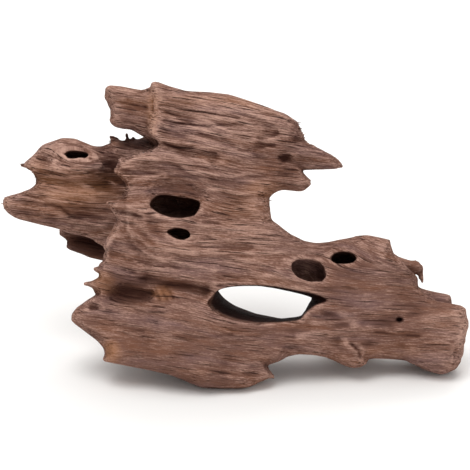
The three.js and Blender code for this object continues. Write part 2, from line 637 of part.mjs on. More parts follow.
const weathered = new THREE.MeshStandardMaterial({ color: 0x86655a, roughness: 0.88, metalness: 0 });
const driftwood = new THREE.Mesh(geometry, weathered);
driftwood.name = "driftwood";

const part = new THREE.Group();
part.add(driftwood);
export default part;
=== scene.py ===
"""A piece of driftwood: a weathered, worm-bored root that leans back on its worn feet.

The wood is laid out in the frame of its broad face, in millimetres: u runs along the grain to the right,
v up the face and w out of it. It is one closed skin around the lobes, roots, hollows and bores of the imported
solid, with the grain, cracks, flakes and torn ends that the solid leaves out.
"""

import logging
import math
from dataclasses import dataclass
from enum import Enum

import bpy
import numpy as np
import openvdb
from mathutils import Matrix, Vector


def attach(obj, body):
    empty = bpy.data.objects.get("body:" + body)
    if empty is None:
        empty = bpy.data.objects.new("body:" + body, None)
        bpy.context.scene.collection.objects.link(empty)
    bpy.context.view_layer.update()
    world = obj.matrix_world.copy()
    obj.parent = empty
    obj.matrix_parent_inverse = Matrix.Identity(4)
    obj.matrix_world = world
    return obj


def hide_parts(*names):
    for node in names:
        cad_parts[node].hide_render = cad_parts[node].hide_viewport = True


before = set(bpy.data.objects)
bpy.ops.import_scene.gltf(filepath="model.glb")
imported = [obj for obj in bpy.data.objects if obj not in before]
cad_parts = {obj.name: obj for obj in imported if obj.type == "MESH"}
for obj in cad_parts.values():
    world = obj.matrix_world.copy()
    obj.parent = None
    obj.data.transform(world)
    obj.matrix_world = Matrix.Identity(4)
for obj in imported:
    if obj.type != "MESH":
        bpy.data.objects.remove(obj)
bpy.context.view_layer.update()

log = logging.getLogger("driftwood")

MM = 0.001
CM = 0.01
LEAN = math.radians(20)  # how far the face leans back, and the camera looks down
WORN_FLAT = 1.2  # mm worn off the feet, which leaves the flats that it stands on
CENTRE_Y = 52.0  # mm by which the face is moved, so that the box is centred front to back
PIXEL = 0.64  # mm of the face in a pixel of the photo
PHOTO_SIDE = 470  # pixels
PIN_REACH = 17.0  # mm from a pin to where its weight has fallen to an eighth
PATCH_FADE = 4.0  # mm below and above each end of its layer where a patch fades out
HALF_BED = 12.0  # mm down from a lobe's face to its middle, as the grain counts them
BED_TILT = 0.15  # mm that the bed gains for each mm of w, so that no two lobes show the same grain

Point = tuple[float, float]
Place = tuple[float, float, float]
Array = np.ndarray
Cut = tuple[slice, slice, slice]


@dataclass(frozen=True)
class Stroke:
    """A ridge (height above 0) or a groove along a path on the face.

    Attributes:
        height: Height in mm on the path.
        width: Reach in mm to the right and to the left of someone who walks along the path.
        path: Points [u, v] in mm.
    """

    height: float
    width: tuple[float, float]
    path: tuple[Point, ...]


@dataclass(frozen=True)
class Lobe:
    """A flake of the wood, with its outline seen square to the face.

    Attributes:
        outline: Closed outline of [u, v] points in mm.
        pins: [u, v, depth, half, rim]: how deep the middle lies near that spot, half the thickness, and the
            width of the rounded edge as a share of that half.
        strokes: Ridges and grooves on the front.
        fine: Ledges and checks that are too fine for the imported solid.
        blend: Width in mm of the fillet to the lobes before it.
    """

    outline: tuple[Point, ...]
    pins: tuple[tuple[float, float, float, float, float], ...]
    strokes: tuple[Stroke, ...] = ()
    fine: tuple[Stroke, ...] = ()
    blend: float = 0.0


@dataclass(frozen=True)
class Root:
    """A tapered root that runs back and down to the floor.

    Attributes:
        start: Its upper end, [u, v, w] in mm.
        end: Its lower end.
        radius: Its radius at both ends.
        blend: Width of the fillet to the rest.
    """

    start: Place
    end: Place
    radius: tuple[float, float]
    blend: float


@dataclass(frozen=True)
class Dent:
    """A soft hollow, worn by a turned ellipsoid.

    Attributes:
        centre: Its middle, [u, v, w] in mm.
        half: Its half sizes.
        tilt: Its turn in degrees, to the left.
        blend: Roundness of the hollow's rim.
    """

    centre: Place
    half: Place
    tilt: float
    blend: float


@dataclass(frozen=True)
class Bore:
    """A bored hole: a tunnel from its mouth to its end.

    Attributes:
        mouth: Middle of the mouth, [u, v, w] in mm.
        end: Middle of the end.
        half: Half sizes along and across the grain.
        outline: The section's outline at the mouth, [u, v]; an oval where there is none.
        tilt: Turn of the oval in degrees.
        lip: Roundness of the rim in mm.
        inner_shade_and_dirt: How dark the painted shade and grime inside are, up to 1.
    """

    mouth: Place
    end: Place
    half: Point
    outline: tuple[Point, ...] = ()
    tilt: float = 0.0
    lip: float = 1.0
    inner_shade_and_dirt: float = 0.55


@dataclass(frozen=True)
class Spike:
    """A splintered point.

    Attributes:
        foot: Its foot inside the wood, [u, v, w] in mm.
        tip: Its tip.
        radius: Its radius at the foot.
    """

    foot: Place
    tip: Place
    radius: float


@dataclass(frozen=True)
class Window:
    """The hole right through: its rim on the face, its throat, and the way whose roof rises to the back.

    Attributes:
        rim: Its outline on the face, [u, v] in mm.
        throat: Its outline where it is narrowest.
        rim_at: The w of the rim.
        throat_at: The w of the throat.
        back_at: The w where the way has reached its full size.
        back_spread: How much wider and higher than the throat it is there.
        lip: Roundness of its edges in mm.
        box: Lowest and highest [u, v] of the wood round it.
    """

    rim: tuple[Point, ...]
    throat: tuple[Point, ...]
    rim_at: float = 14.0
    throat_at: float = -14.0
    back_at: float = -62.0
    back_spread: tuple[float, float] = (1.15, 1.8)
    lip: float = 1.5
    box: tuple[Point, Point] = ((-45.0, 25.0), (90.0, 100.0))


@dataclass(frozen=True)
class Patch:
    """A soft spot where the wood differs.

    Attributes:
        centre: Its [u, v] in mm.
        reach: How far it goes along u and v.
        amount: How much it differs.
        layer: The w of its lowest and highest place.
    """

    centre: Point
    reach: Point
    amount: float
    layer: Point = (-38.0, 60.0)

    def spread(self, u: Array, v: Array, w: Array) -> Array:
        """The patch's strength at places.

        Args:
            u: The places' u in mm.
            v: Their v.
            w: Their w.

        Returns:
            The amount in the middle, fading to 0 all round.
        """
        du, dv = (u - self.centre[0]) / self.reach[0], (v - self.centre[1]) / self.reach[1]
        over_bottom = smooth_step((w - self.layer[0] + PATCH_FADE) / (2 * PATCH_FADE))
        under_top = smooth_step((self.layer[1] + PATCH_FADE - w) / (2 * PATCH_FADE))
        return self.amount * np.exp(-(du * du + dv * dv) ** 1.5) * (over_bottom * under_top)


# How rough the weather left the surface, above or below the usual.
ROUGH = (
    Patch((0, 168), (62, 32), 0.35),
    Patch((-112, 130), (48, 32), 0.4, (-60, 60)),
    Patch((-72, 140), (20, 14), 0.6),
    Patch((-72, 100), (18, 20), -0.2),
    Patch((-36, 130), (22, 8), -0.35),
    Patch((-30, 30), (66, 28), -0.4),
    Patch((90, 45), (60, 34), -0.35),
    Patch((148, 30), (5, 24), 0.1),
    Patch((0, 92), (40, 12), -0.15),
    Patch((2, 113), (22, 9), 0.3),
)

FACE = Lobe(
    outline=(
        (-54.5, 197), (-50, 197), (-43, 194.5), (-31.5, 191), (-18, 190), (-4.5, 188), (8.5, 184.5),
        (23, 180), (32, 176.5), (38.5, 172), (41.5, 166.5), (43.5, 159.5), (49.5, 155.5), (61.5, 150),
        (67, 145.5), (68.5, 143), (66.5, 141), (59, 140.5), (43.5, 140), (44, 137.5), (48, 133.5),
        (48.5, 130.5), (44, 126), (30.5, 127.5), (24, 125), (21, 122), (21, 117), (23.5, 108),
        (29, 104), (36.5, 98.5), (44, 94.5), (52, 93), (60, 93.5), (73.5, 96), (78.5, 97.5),
        (84.5, 98), (92, 96.5), (98.5, 95), (100, 91.5), (102, 86), (106, 82.5), (111, 77), (115, 73),
        (117, 70), (117.5, 65), (121, 60.5), (130, 55.5), (139.5, 54), (145.5, 53), (148.5, 50.5),
        (149, 46), (150, 38), (149, 30.5), (146.5, 22.5), (145.5, 16.5), (142.5, 12.5), (137.5, 9.5),
        (132.5, 8), (126, 9.5), (119.5, 12.5), (114, 15.5), (109, 17.5), (98.5, 18.5), (87.5, 19),
        (85, 18), (84, 15.5), (80.5, 13.5), (75.5, 13), (70.5, 14.5), (64.5, 17.5), (58, 20),
        (50.5, 21.5), (40.5, 22), (33.5, 20.5), (28, 17.5), (20, 15), (23, 9), (23.5, 7.5), (15.5, 4),
        (10, 1), (5.5, 0), (-14, 0), (-22, 0.5), (-27, 3), (-33.5, 6), (-43.5, 9.5), (-57, 12.5),
        (-73, 15.5), (-84.5, 17.5), (-82.5, 22.5), (-83.5, 26), (-89.5, 31.5), (-96, 36.5),
        (-101, 40.5), (-104.5, 43.5), (-104.5, 47.5), (-101, 52), (-95, 56.5), (-88, 60.5),
        (-88.5, 62.5), (-94.5, 67), (-86.5, 71.5), (-87, 74), (-89.5, 76.5), (-86.5, 78), (-87, 79.5),
        (-84, 82), (-83, 88), (-84, 90.5), (-83, 94), (-80, 99), (-75.5, 107.5), (-75.5, 111),
        (-81, 117.5), (-80.5, 119.5), (-71.5, 121.5), (-70, 127.5), (-70.5, 131), (-76, 137.5),
        (-77, 139.5), (-75, 142.5), (-74, 147.5), (-69, 148), (-61, 150), (-50.5, 156), (-55.5, 165),
        (-54.5, 172), (-52.5, 178.5), (-53, 185.5), (-55, 191),
    ),
    pins=(
        (-45, 185, -14, 18, 0.45), (-3, 168, -10, 21, 0.65), (29, 162, -16, 18, 0.6),
        (64, 144, -26, 9, 0.8), (42, 131, -18, 11, 0.6), (22, 117, -10, 16, 0.6),
        (-70, 114, 3, 14, 0.3), (-77, 82, -2, 15, 0.25), (-35, 85, 0, 24, 0.7), (10, 85, 0, 22, 0.7),
        (-99, 47, -2, 13, 0.5), (-90, 63, -4, 8, 0.35), (-74, 28, 2, 17, 0.45), (-29, 28, 5, 23, 0.5),
        (10, 12, 3, 17, 0.45), (22, 8, 2, 9, 0.4), (35, 31, -2, 15, 0.7), (80, 88, -12, 15, 0.6),
        (93, 63, -12, 20, 0.8), (77, 20, -10, 14, 0.6), (106, 28, -15, 17, 0.7),
        (134, 28, -18, 22, 0.65), (145, 47, -20, 14, 0.5), (115, 68, -16, 11, 0.6),
        (-68, 145, 0, 10, 0.35),
    ),
    strokes=(
        Stroke(5, (9, 3), ((-80.5, 118), (-67, 117), (-55.5, 113), (-41.5, 108.5), (-22, 106))),
        Stroke(3, (7, 4), ((-22, 106), (5, 102), (25.5, 97.5))),
        Stroke(2.5, (3, 12), ((-53, 160), (-40, 157), (-31, 155), (-12.5, 153.5))),
        Stroke(-3, (4, 2), ((-51, 156), (-40, 153.5), (-31, 152), (-13, 150.5))),
        Stroke(4, (7, 2.5), ((-76, 141.5), (-67, 145.5), (-59, 150), (-41, 148.5), (-20, 145))),
        Stroke(4, (2.5, 9), ((-62, 75), (-50, 73), (-38, 69), (-14, 67.5))),
        Stroke(-7, (5, 3), ((-56, 71), (-38, 68), (-19, 64))),
        Stroke(3, (2.5, 2), ((-76, 112), (-80, 97), (-82, 84))),
        Stroke(3, (3, 4), ((-67, 115), (-67, 101), (-54, 89), (-35, 81), (-13, 76))),
        Stroke(2.5, (3, 3), ((-60, 113), (-59, 103), (-48, 93), (-26, 87.5))),
        Stroke(3, (3.5, 5), ((42, 46), (46, 52.5), (56, 54.5), (67, 50), (76, 42))),
        Stroke(3, (4, 3), ((42, 34), (75, 38), (104, 38))),
        Stroke(4, (6, 2.5), ((104, 39), (120, 44), (140, 47.5))),
        Stroke(2.8, (3, 5), ((71, 29), (78, 23), (84, 15))),
        Stroke(-3, (5, 3), ((86, 28), (96, 25), (106, 27))),
        Stroke(4, (3, 5), ((-51, 193), (-52, 180), (-53, 166))),
    ),
    fine=(
        Stroke(1.5, (1, 3), ((-59, 151), (-54, 153), (-45, 154))),
        Stroke(-2.5, (1.2, 1.5), ((-46, 157), (-38, 154.5), (-27, 154))),
        Stroke(1.6, (0.9, 4), ((-61, 146), (-51, 146), (-38, 145), (-32, 141), (-29, 138), (-13, 136))),
        Stroke(1.6, (0.9, 4), ((-13, 136), (-2, 135.5), (10, 137.5), (17, 138))),
        Stroke(1.6, (0.9, 3), ((-17, 126.5), (-8, 127), (0, 124.5), (17, 125))),
        Stroke(1.3, (1, 3.5), ((-19, 163.5), (0, 161), (22.5, 158), (41.5, 154), (54, 151.5))),
        Stroke(1.3, (1, 3), ((-45, 188), (-22, 182), (0, 179), (17, 174))),
        Stroke(-1.4, (0.9, 0.9), ((-48, 181.5), (-22, 177), (3, 173))),
        Stroke(-1.2, (0.9, 0.9), ((-40, 170), (-18, 168), (6, 169))),
        Stroke(1.3, (0.8, 2.5), ((36, 150), (47, 149.5), (60, 147))),
        Stroke(1.5, (1.6, 1.2), ((-78, 118.5), (-70, 119), (-61, 117.5), (-54, 113), (-48, 110))),
        Stroke(1.5, (1.4, 1.2), ((-48, 110), (-36, 107.5), (-27, 108.5), (-22, 113))),
        Stroke(-1.8, (2.2, 1.5), ((-76, 114), (-68, 113), (-60, 110))),
        Stroke(1.7, (1.2, 1.6), ((-68.5, 106.5), (-66.5, 99.5), (-64, 93), (-54.5, 85.5), (-45, 81))),
        Stroke(1.5, (1, 1.8), ((-63.5, 108), (-62.5, 98.5), (-54.5, 91), (-32, 86), (-3, 87), (32, 87))),
        Stroke(1.5, (0.9, 3), ((-22, 104), (-3, 102), (19, 101), (35, 97.5))),
        Stroke(-1.4, (0.9, 0.9), ((-26, 107), (-10, 106))),
        Stroke(1.3, (0.8, 2.5), ((-66, 72.5), (-45, 71), (-22, 69.5), (-13, 66))),
        Stroke(-1.5, (0.9, 0.9), ((-51.5, 66), (-47.5, 56.5))),
        Stroke(-1.5, (0.9, 0.9), ((-47.5, 65.5), (-43, 57))),
        Stroke(-1.5, (0.9, 0.9), ((-43.5, 65), (-39, 58))),
        Stroke(1.4, (1, 2.5), ((-97, 55), (-91, 56.5), (-85, 55))),
        Stroke(1.2, (1, 1.5), ((109, 43.5), (118, 46), (131, 48), (143, 50))),
        Stroke(1.3, (1, 2), ((86, 39), (102, 37), (125, 39))),
        Stroke(-1.2, (1, 1), ((90, 36.5), (105, 34.5), (118, 33.5))),
        Stroke(-2.2, (1.1, 1.1), ((74, 29), (78.5, 25), (80, 20.5))),
        Stroke(1.2, (1.2, 1.5), ((48, 42), (58, 41.5), (70, 43))),
        Stroke(-1.2, (0.9, 0.9), ((-38, 34), (-22, 33), (-2, 35))),
        Stroke(-1, (0.9, 0.9), ((-76, 40), (-58, 37))),
        Stroke(1.5, (2.5, 4), ((138, 14), (142, 24), (145, 36), (143, 48))),
    ),
)

TAB = Lobe(
    outline=(
        (-83, 191), (-82, 194.5), (-73.5, 194), (-65.5, 192.5), (-59.5, 191.5), (-54.5, 193.5),
        (-38.5, 188), (-36.5, 159), (-49.5, 155.5), (-62, 163), (-66.5, 166), (-72, 166.5), (-78, 168),
        (-81, 171.5), (-80, 174.5), (-80.5, 180), (-83, 185.5),
    ),
    pins=((-78, 180, -16, 13, 0.35), (-45, 176, -14, 14, 0.5)),
    strokes=(Stroke(-2, (3, 3), ((-80, 183), (-58, 180))),),
    blend=2,
)

ARM = Lobe(
    outline=(
        (-150, 120.5), (-148.5, 123), (-137.5, 126), (-132.5, 128), (-129.5, 131.5), (-129.5, 135.5),
        (-132, 140), (-137, 143.5), (-131, 149.5), (-124, 157), (-111.5, 161), (-103.5, 160.5),
        (-91.5, 155.5), (-86, 155), (-80.5, 158.5), (-79.5, 161.5), (-75, 159.5), (-70.5, 159),
        (-54.5, 161.5), (-41.5, 152.5), (-41.5, 98.5), (-61, 88.5), (-84, 90.5), (-91.5, 95),
        (-97.5, 97.5), (-108.5, 100), (-113.5, 102), (-126, 105), (-139.5, 108.5), (-145.5, 111.5),
        (-149.5, 117.5),
    ),
    pins=(
        (-145, 118, -40, 8, 0.5), (-132, 144, -40, 7, 0.5), (-105, 152, -36, 14, 0.5),
        (-112, 115, -37, 15, 0.6), (-80, 130, -38, 18, 0.8), (-60, 130, -36, 20, 0.8),
    ),
    strokes=(
        Stroke(-7, (5, 4), ((-130, 134), (-106, 132), (-84, 131))),
        Stroke(3.5, (2.5, 8), ((-136, 142), (-122, 137), (-106, 136), (-90, 139))),
        Stroke(-4, (7, 7), ((-78, 146), (-74, 134))),
        Stroke(3, (4, 3), ((-146, 118), (-118, 113), (-85, 104))),
    ),
    fine=(
        Stroke(1.8, (0.9, 3.5), ((-130, 142.5), (-118, 140.5), (-108, 139.5), (-97, 140), (-88, 142))),
        Stroke(-1.6, (1, 1.2), ((-127, 139), (-108, 137), (-90, 139))),
        Stroke(-1.3, (0.8, 0.8), ((-111, 158), (-98, 155))),
        Stroke(-1.1, (0.8, 0.8), ((-120, 149.5), (-111, 148))),
        Stroke(-1.1, (0.8, 0.8), ((-128, 148), (-118, 146.5))),
        Stroke(-1.3, (0.9, 0.9), ((-137.5, 125), (-128, 122.5), (-121.5, 123))),
        Stroke(-1.3, (0.8, 1), ((-123.5, 117.5), (-118, 118), (-112, 116), (-106, 110.5), (-99, 109))),
        Stroke(1.5, (0.9, 2.5), ((-114, 108), (-100, 105), (-86, 103))),
        Stroke(1.3, (0.9, 3), ((-117, 127), (-100, 127), (-86, 124))),
    ),
    blend=3,
)

SHELL = Lobe(
    outline=(
        (-114, 98.5), (-113.5, 104), (-99, 104.5), (-67, 101.5), (-54.5, 88.5), (-61, 72.5),
        (-84, 81.5), (-94.5, 84), (-108, 88.5), (-109.5, 90.5), (-109, 95),
    ),
    pins=((-98, 92, -63, 7, 0.5), (-60, 88, -52, 14, 1)),
    blend=3,
)

SPLINTER = Lobe(
    outline=(
        (86.5, 94), (98, 90), (106, 84), (114, 81.5), (119, 80), (121, 77.5), (121, 69), (119, 73.5),
        (116, 72.5), (109, 71), (96, 72.5),
    ),
    pins=((95, 84, -40, 9, 0.8), (120, 76, -44, 5, 0.6)),
    blend=2,
)

SHOULDER = Lobe(
    outline=(
        (109, 69.5), (117, 65.5), (120.5, 63.5), (129.5, 61.5), (137.5, 60), (139, 58), (139.5, 53.5),
        (141.5, 44), (131, 34.5), (112, 40.5),
    ),
    pins=((125, 55, -38, 9, 0.5),),
    blend=2,
)

REAR = Lobe(
    outline=(
        (-54.5, 170), (-22.5, 181), (3, 177), (23.5, 168), (32, 156), (29, 138.5), (15.5, 128.5),
        (12.5, 114.5), (22.5, 99.5), (41.5, 88), (61, 86.5), (83, 89), (105.5, 77), (113.5, 63),
        (131, 49.5), (139, 40.5), (137, 24.5), (125, 17), (105.5, 24.5), (70.5, 25.5), (54.5, 27.5),
        (29, 27.5), (3, 23.5), (-22.5, 21), (-54.5, 24.5), (-75, 34.5), (-77, 56.5), (-75, 81),
        (-69.5, 101.5), (-66, 127),
    ),
    pins=(
        (-10, 158, -40, 17, 1.1), (-40, 110, -44, 22, 1.1), (-45, 60, -46, 24, 1.1),
        (20, 110, -40, 16, 1.1), (75, 70, -40, 16, 1.1), (10, 35, -34, 18, 1.1),
        (115, 50, -36, 13, 1), (125, 35, -36, 14, 1), (70, 40, -34, 16, 1),
    ),
    blend=9,
)

LOBES = (FACE, TAB, ARM, SHELL, SPLINTER, SHOULDER, REAR)

ROOTS = (
    Root((-42, 82, -52), (-62, 48, -100), (24, 13.5), 14),
    Root((66, 62, -38), (80, 32, -66), (17, 10.5), 10),
)

DENTS = (
    Dent((-36, 127, 24), (24, 14, 18), -6, 4),
    Dent((-67.5, 60, 19), (17, 7.5, 15), 0, 3.5),
    Dent((-74, 60.5, 15), (12.5, 6.8, 13), 0, 3),
    Dent((37, 146, 4), (11, 4, 10), -12, 2),
    Dent((-58, 155, 6), (9, 4, 12), 14, 2),
    Dent((92, 19, 8), (13, 6, 10), 0, 3),
    Dent((104, 45, 11), (17, 5, 7), 6, 3),
    Dent((62, 47, 14), (7, 3.5, 6), -10, 2),
    Dent((14, 7, 24), (9, 8, 10), -30, 5),
    Dent((-76, 139, -15), (12, 12, 10), 0, 3),
    Dent((15, 94, -70), (52, 16, 22), -7, 7),
    Dent((-10, 52, -76), (26, 13, 22), -4, 6),
    Dent((-38, 152, -66), (28, 10, 14), -8, 5),
    Dent((-104, 128, -60), (26, 9, 10), -4, 4),
)

BORES = (
    Bore(
        mouth=(-38.5, 115.5, 22),
        end=(-37, 115, -22),
        outline=(
            (-55, 117.5), (-53.5, 121), (-49.5, 124), (-43, 124), (-35.5, 122.5), (-28, 121.5),
            (-22.5, 119.5), (-23, 115), (-26, 110.5), (-33.5, 109), (-41, 109.5), (-48.5, 112),
            (-53, 115),
        ),
        half=(16, 7.5),
    ),
    Bore(
        mouth=(-36.5, 99.5, 26),
        end=(-34, 99, 0),
        outline=(
            (-44.5, 100.5), (-41, 102.5), (-37, 103), (-31, 102), (-28.5, 99.5), (-28.5, 97),
            (-33.5, 95), (-38, 96), (-42, 98.5),
        ),
        half=(8, 4),
        inner_shade_and_dirt=0.15,
    ),
    Bore(
        mouth=(47, 76, 12),
        end=(47.5, 73.5, -14),
        outline=(
            (36, 80.5), (40.5, 83), (48, 83), (54.5, 81.5), (57, 78), (58, 72.5), (55.5, 69.5),
            (47, 69), (39.5, 71.5), (36, 76),
        ),
        half=(11, 7),
        lip=1.6,
        inner_shade_and_dirt=0.25,
    ),
    Bore(
        mouth=(69.2, 84, 8),
        end=(71, 81.5, -26),
        outline=(
            (60.8, 84.5), (62.7, 87), (67.2, 88.4), (72.3, 88), (76.5, 86), (77.5, 83.6), (75.5, 81.2),
            (70.4, 80.3), (64, 80.6), (61.4, 82.2),
        ),
        half=(8.4, 3.7),
        inner_shade_and_dirt=0.2,
    ),
    Bore(
        mouth=(-101.4, 150, -21),
        end=(-101, 148, -42),
        outline=(
            (-110, 151), (-108, 152.5), (-104, 153), (-99, 152.5), (-94.5, 151.5), (-94, 149.5),
            (-96, 148), (-100.5, 148.2), (-104, 147.5), (-108, 148.2),
        ),
        half=(8, 2.7),
        lip=0.5,
        inner_shade_and_dirt=0.4,
    ),
    Bore((104.8, 44, 8), (105.5, 44, -4), (1.9, 1.6), lip=0.5, inner_shade_and_dirt=0.8),
    Bore((-91, 52, 10), (-90, 52, 5), (3.6, 1.7), tilt=-8, lip=1.2, inner_shade_and_dirt=0.15),
    Bore((38, 146, -30), (28, 145, -12), (6, 4), lip=2),
    Bore((-30, 84, -76), (-28, 88, -48), (9, 5.5), lip=2),
)

SPIKES = (
    Spike((-68, 116, 9), (-81.5, 119, 6), 5),
    Spike((-80, 78, -2), (-90, 76.5, -4), 3.8),
    Spike((-80, 68, -2), (-96, 67, -4), 5.5),
    Spike((-82, 58, -2), (-89.5, 62.5, -4), 3),
    Spike((48, 149, -24), (69, 142.5, -27), 8),
    Spike((-126, 142, -40), (-138, 143.5, -40), 5),
    Spike((-76, 153, -36), (-80, 161.8, -36), 4.5),
    Spike((-74, 153, -36), (-76, 160.5, -36), 3.5),
    Spike((-68, 154, -34), (-70, 163.3, -33), 4),
    Spike((-66, 154, -34), (-66, 161, -33), 3.5),
    Spike((14, 12, 0), (24.5, 7.5, 0), 5),
    Spike((117, 79, -44), (121.5, 68, -44), 3),
    Spike((58, 50.5, -8), (48, 55, -8), 3),
)

WINDOW = Window(
    rim=(
        (-18, 55), (-14.5, 59.5), (-11.5, 63), (-4.5, 65.5), (5, 66.5), (15.5, 66.5), (27.5, 65.5),
        (38, 63.5), (48, 62), (56.5, 60), (62, 57), (60, 54.5), (52.5, 54), (45, 48.5), (41.5, 44),
        (29, 42.5), (13.5, 41.5), (0.5, 43.5), (-8.5, 46.5), (-14.5, 50.5),
    ),
    throat=(
        (-11.5, 61), (-10.5, 63), (-7.5, 64), (-2.5, 65), (5, 65.5), (15.5, 65.5), (25.5, 64),
        (35, 62), (43.5, 60), (49.5, 58), (53.5, 55.5), (52, 54.5), (48.5, 54), (44, 48.5),
        (41.5, 44.5), (29, 43.5), (14.5, 45.5), (3, 48.5), (-4, 51.5), (-8.5, 54.5),
    ),
)


def read_between(grid: Array, cells: list[Array], shares: list[Array]) -> Array:
    """Reads a grid of values between its places.

    Args:
        grid: The values. Past its end the grid starts again.
        cells: The index of the place below, along each axis.
        shares: How much the next place counts, along each axis.

    Returns:
        The values there.
    """
    neighbours = [(cell % size, (cell + 1) % size) for cell, size in zip(cells, grid.shape)]
    total: Array | float = 0.0
    for corner in range(2 ** len(shares)):
        weight: Array | float = 1.0
        index = []
        for k, share in enumerate(shares):
            bit = corner >> k & 1
            weight = weight * (share if bit else 1 - share)
            index.append(neighbours[k][bit])
        total = total + weight * grid[tuple(index)]
    return total


class Noise:
    """Smooth random values between -1 and 1 on a lattice that repeats."""

    SIZE = 64

    def __init__(self, seed: int) -> None:
        """Draws the lattice's values from a fixed seed."""
        generator = np.random.default_rng(seed)
        self.lattice = generator.uniform(-1, 1, (self.SIZE,) * 3).astype(np.float32)

    def __call__(self, x: Array, y: Array, z: Array) -> Array:
        """Reads the noise.

        Args:
            x: Places along the lattice's first axis, in steps of the lattice.
            y: The same along the second.
            z: The same along the third.

        Returns:
            The values there.
        """
        lower = [np.floor(c) for c in (x, y, z)]
        steps = [(c - low).astype(np.float32) for c, low in zip((x, y, z), lower)]
        shares = [t * t * (3 - 2 * t) for t in steps]
        return read_between(self.lattice, [low.astype(np.int64) for low in lower], shares)


@dataclass(frozen=True)
class Wave:
    """How a noise is drawn out along the grain.

    Attributes:
        length: Size of its waves in mm along the grain.
        width: Their size across the grain, on the face.
        depth: Their size down into the wood.
        height: How high they reach, in mm where nothing else is said.
        shift: How many waves further on it is read, so that one noise can serve twice.
    """

    length: float
    width: float
    depth: float
    height: float = 1.0
    shift: float = 0.0

    def of(self, noise: Noise, u: Array, level: Array, bed: Array) -> Array:
        """The noise's height at places given along, across and down into the grain."""
        return self.height * noise(u / self.length + self.shift, level / self.width, bed / self.depth)


def smooth_min(a: Array, b: Array, blend: float) -> Array:
    """Joins two solids, given as distances that are negative inside.

    Args:
        a: Distance to the first.
        b: Distance to the second.
        blend: About how wide the fillet between them is.

    Returns:
        Distance to the two together.
    """
    if blend <= 0:
        return np.minimum(a, b)
    h = np.maximum(blend - np.abs(a - b), 0) / blend
    return np.minimum(a, b) - h * h * blend / 4


def smooth_step(t: Array) -> Array:
    """The usual s-curve from 0 to 1."""
    t = np.clip(t, 0, 1)
    return t * t * (3 - 2 * t)


def to_segment(u: Array, v: Array, a: Point, b: Point) -> Array:
    """Measures the way to a straight line on the face.

    Args:
        u: The places' u.
        v: Their v.
        a: One end of the line.
        b: Its other end.

    Returns:
        The distance from each place to the line.
    """
    du, dv = b[0] - a[0], b[1] - a[1]
    t = np.clip(((u - a[0]) * du + (v - a[1]) * dv) / (du * du + dv * dv), 0, 1)
    return np.hypot(u - a[0] - t * du, v - a[1] - t * dv)


def to_axis(places: tuple[Array, ...], start: Place, end: Place) -> tuple[Array, Array]:
    """Measures the way to the axis of a root or a spike.

    Args:
        places: The places' u, v and w.
        start: The axis's first end.
        end: Its other end.

    Returns:
        How far along the axis each place lies, from 0 to 1, and its distance from it.
    """
    axis = [b - a for a, b in zip(start, end)]
    t = sum((c - a) * d for c, a, d in zip(places, start, axis)) / sum(d * d for d in axis)
    t = np.clip(t, 0, 1)
    return t, np.sqrt(sum((c - a - t * d) ** 2 for c, a, d in zip(places, start, axis)))


def inset(outline: tuple[Point, ...], u: Array, v: Array) -> Array:
    """Measures how far places lie inside an outline.

    Args:
        outline: A closed outline of [u, v] points.
        u: The places' u.
        v: Their v.

    Returns:
        The distance to the outline, negative outside it.
    """
    nearest = np.full(np.broadcast(u, v).shape, np.inf)
    inside = np.zeros(nearest.shape, bool)
    for a, b in zip(outline, outline[1:] + outline[:1]):
        nearest = np.minimum(nearest, to_segment(u, v, a, b))
        if a[1] != b[1]:
            crossing = (b[0] - a[0]) * (v - a[1]) / (b[1] - a[1]) + a[0]
            inside ^= ((a[1] > v) != (b[1] > v)) & (u < crossing)
    return np.where(inside, nearest, -nearest)


def total_spread(patches: tuple[Patch, ...], u: Array, v: Array, w: Array) -> Array:
    """The strength of several patches together, at places given by their u, v and w."""
    return sum(patch.spread(u, v, w) for patch in patches)


def stand_up(points: Array) -> Array:
    """Stands the wood on its feet.

    Args:
        points: Points in the face's frame, in mm.

    Returns:
        The same in the part's frame, in metres.
    """
    u, v, w = points[:, 0], points[:, 1], points[:, 2]
    y = v * math.sin(LEAN) - w * math.cos(LEAN) - CENTRE_Y
    z = v * math.cos(LEAN) + w * math.sin(LEAN) - WORN_FLAT
    return np.stack([u, y, z], axis=1) * MM


def face_ways(points: Array, quads: Array) -> Array:
    """The way that each quad faces, as long as twice its area."""
    corners = points[quads]
    return np.cross(corners[:, 2] - corners[:, 0], corners[:, 3] - corners[:, 1])


